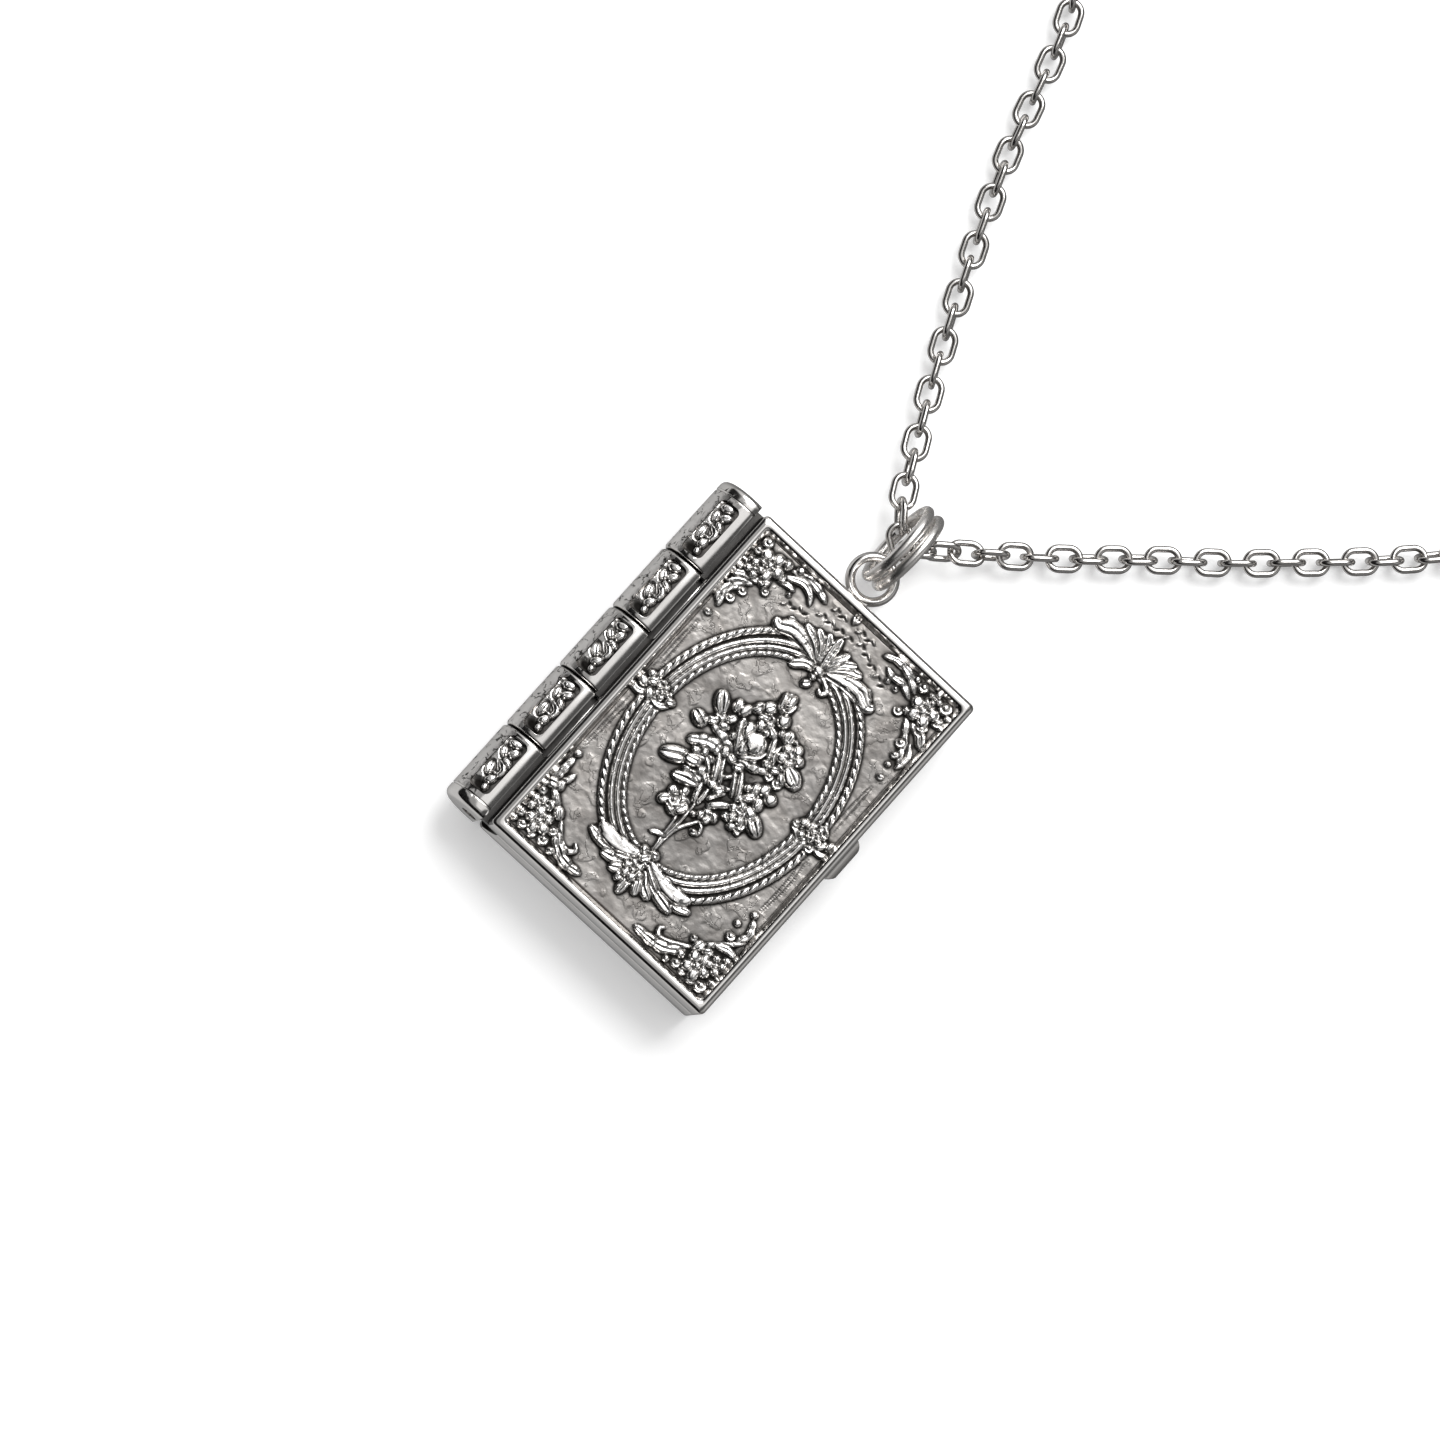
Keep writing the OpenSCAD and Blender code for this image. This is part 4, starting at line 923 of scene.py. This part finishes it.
def window_relief(k):
    """A spray of petals on a slope that starts from the spine's outer side, with a knob at its
    upper end and a hollow at its lower end painted dark as shade, for one window of the spine."""
    low, high = window_ends(k)
    w, l = WINDOW_W - 0.08, high - low - 0.08
    work = Relief(w, l, WINDOW_STEP)
    x, y = work.x[None, :], work.y[:, None]
    hollow = np.clip(1.6 - np.hypot((x + 0.12 * w) / 0.6, (y + 0.42 * l) / 0.36), 0, 1)
    slope = 0.24 * np.clip(0.55 - x / w, 0, 1) * np.clip((l / 2 - np.abs(y)) / 0.3, 0, 1)
    work.h = work.h + slope * (1 - hollow)
    # The hollow is painted dark as shade
    work.painted_shade = np.maximum(work.painted_shade, hollow)
    turn = 16 * (k % 3 - 1)
    work.petal(0.16 * w, 0.27 * l, 60 + turn, 1.05, 0.7, 0.44, 0.3)
    work.petal(-0.2 * w, 0.22 * l, 120 + turn, 1.0, 0.6, 0.42, 0.3)
    work.petal(0.2 * w, 0.1 * l, -35 + turn, 1.0, 0.6, 0.43, 0)
    scroll = [(-0.05 * w, 0.06 * l), (0.3 * w, -0.03 * l), (0.24 * w, -0.16 * l), (0, -0.12 * l)]
    work.stroke(scroll, 0.5, 0.44)
    work.petal(-0.22 * w, -0.12 * l, 110 + turn, 1.2, 0.7, 0.42, 0.35)
    work.petal(0.12 * w, -0.26 * l, 60 - turn, 1.0, 0.7, 0.44, 0)
    work.petal(0.16 * w, -0.4 * l, 100, 0.66, 0.5, 0.42, 0)
    work.petal(-0.05 * w, l / 2 - 0.38, 15, 1.15, 0.72, 0.42, 0)
    return work


# A plaque's height above its window's floor, the depth of its edge, and how dark its ground is painted as
# shade
PLAQUE_LIFT = 0.1
PLAQUE_SKIRT = 0.08
PLAQUE_PAINTED_SHADE = 0.7

for k in range(5):
    place = window_place(k) @ Matrix.Translation((0, 0, PLAQUE_LIFT))
    carved = window_relief(k).piece(f"spine_carving_{k + 1}", place, PLAQUE_SKIRT, PLAQUE_PAINTED_SHADE)
    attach(carved, "front" if k % 2 == 0 else "back")
    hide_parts(f"spine_panel_{k + 1}")

dress(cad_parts["hinge_pin"], PIN_STEEL)
for name in ("jump_ring_a", "jump_ring_b"):
    dress(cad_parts[name], RING_SILVER)
for name in ("chain_left", "chain_right", "clasp"):
    dress(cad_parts[name], CHAIN_SILVER)


# Setting: floor, light and camera

def floor():
    bpy.ops.mesh.primitive_plane_add(size=3, location=(0, 0, -0.00005))
    ground = keep_in_place("floor")
    material = bpy.data.materials.new("pale_paper")
    material.use_nodes = True
    shader = material.node_tree.nodes["Principled BSDF"]
    shader.inputs["Base Color"].default_value = (0.93, 0.93, 0.93, 1)
    shader.inputs["Roughness"].default_value = 0.9
    shader.inputs["Specular IOR Level"].default_value = 0.1
    shader.inputs["Emission Color"].default_value = (1, 1, 1, 1)
    shader.inputs["Emission Strength"].default_value = 0.22
    ground.data.materials.append(material)
    ground.visible_glossy = False


# The side of the room that stays dark, seen from above
DARK_SIDE = (-0.72, -0.69, 0)


def room():
    """A pale room whose low parts are dimmer, and dark on one side: the polished metal mirrors it.
    The paper gets a light of its own, even and soft."""
    world = bpy.data.worlds.new("pale_room")
    world.use_nodes = True
    bpy.context.scene.world = world
    look = Finish(world.node_tree)
    way = look.node("ShaderNodeTexCoord", {}, output="Generated")

    def towards(direction):
        return look.node("ShaderNodeVectorMath", {"operation": "DOT_PRODUCT"},
                         {0: way, 1: direction}, output="Value")

    height = towards((0, 0, 1))
    across = towards((0.994, 0, -0.109))
    # A bright ceiling, longer up the locket than across it, with windows up and to the right of it
    strip = look.spread(across.maths("ABSOLUTE"), 0.36, 0.14)
    ceiling = look.spread(towards((0.108, 0.162, 0.981)), 0.86, 0.975) * strip * 0.62
    window = look.spread(towards((0.10, 0.66, 0.745)), 0.87, 0.95) * 0.9
    side_window = look.spread(towards((0.96, 0.12, 0.25)), 0.90, 0.96) * 0.3
    behind = look.spread(towards((-0.82, 0.53, 0.15)), 0.52, 0.90) * 0.5
    low = look.spread(height, 0.60, 0.20)
    walls = (0.34 + ceiling + window + side_window) * (1 - low * 0.55) + behind
    black = look.spread(height, 0.84, 0.72) * look.spread(towards(DARK_SIDE), 0.02, 0.34)
    beam = look.spread(across, 0.22, 0.32) * look.spread(across, 0.66, 0.5)
    under = look.spread(height, 0.03, -0.06)
    table = look.spread(towards(DARK_SIDE), -0.5, 0.75, 0.16, 0.62)
    mirrored = walls * (1 - black * 0.985) * (1 - beam * 0.75) * (1 - under) + under * table
    # What lights the paper: even, a little stronger from the top of the picture
    soft = look.spread(towards((-0.676, 0.735, 0.05)), -0.8, 0.8, 0.35, 0.95)
    polished = look.node("ShaderNodeLightPath", {}, output="Is Glossy Ray")
    tone = mirrored * polished + soft * (1 - polished)
    background = world.node_tree.nodes["Background"]
    world.node_tree.links.new(tone.socket, background.inputs["Strength"])
    background.inputs["Color"].default_value = (1, 1, 1, 1)


# The one lamp, at the top of the picture: place and size in metres
KEY_AT = (-0.06, 0.30, 0.35)
KEY_SIZE = 0.36
KEY_WATTS = 1.9


def lamp(name, at, aim, size, watts):
    light = bpy.data.lights.new(name, "AREA")
    light.shape = "DISK"
    light.size = size
    light.energy = watts
    holder = bpy.data.objects.new(name, light)
    bpy.context.scene.collection.objects.link(holder)
    holder.location = at
    holder.rotation_euler = (Vector(aim) - Vector(at)).to_track_quat("-Z", "Y").to_euler()


# The photograph's frame is 1440 pixels square. A point of the front cover, x and y in millimetres
# from its middle, shows at the pixel (733.5 + 10.22 x + 9.24 y, 765 + 9.5 x - 10.38 y).
FRAME_PX = 1440
PX_PER_MM = 14.06
CAMERA_AWAY = 700
TO_CAMERA = Vector((-0.108, -0.162, 0.981)).normalized()
TO_RIGHT = Vector((0.7287, 0.6583, 0.189))
SEEN_MIDDLE = Vector((-2.93, 1.62, THICK))


def camera():
    lens = bpy.data.cameras.new("camera")
    lens.sensor_width = 36
    lens.lens = 36 * PX_PER_MM * CAMERA_AWAY / FRAME_PX
    lens.clip_start = 0.01
    eye = bpy.data.objects.new("camera", lens)
    bpy.context.scene.collection.objects.link(eye)
    right = (TO_RIGHT - TO_RIGHT.dot(TO_CAMERA) * TO_CAMERA).normalized()
    up = TO_CAMERA.cross(right)
    place = Matrix((right, up, TO_CAMERA)).transposed().to_4x4()
    place.translation = (SEEN_MIDDLE + TO_CAMERA * CAMERA_AWAY) * MM
    eye.matrix_world = place
    bpy.context.scene.camera = eye


floor()
room()
lamp("key", KEY_AT, (0, 0, 0), KEY_SIZE, KEY_WATTS)
camera()
bpy.context.scene.view_settings.view_transform = "Standard"
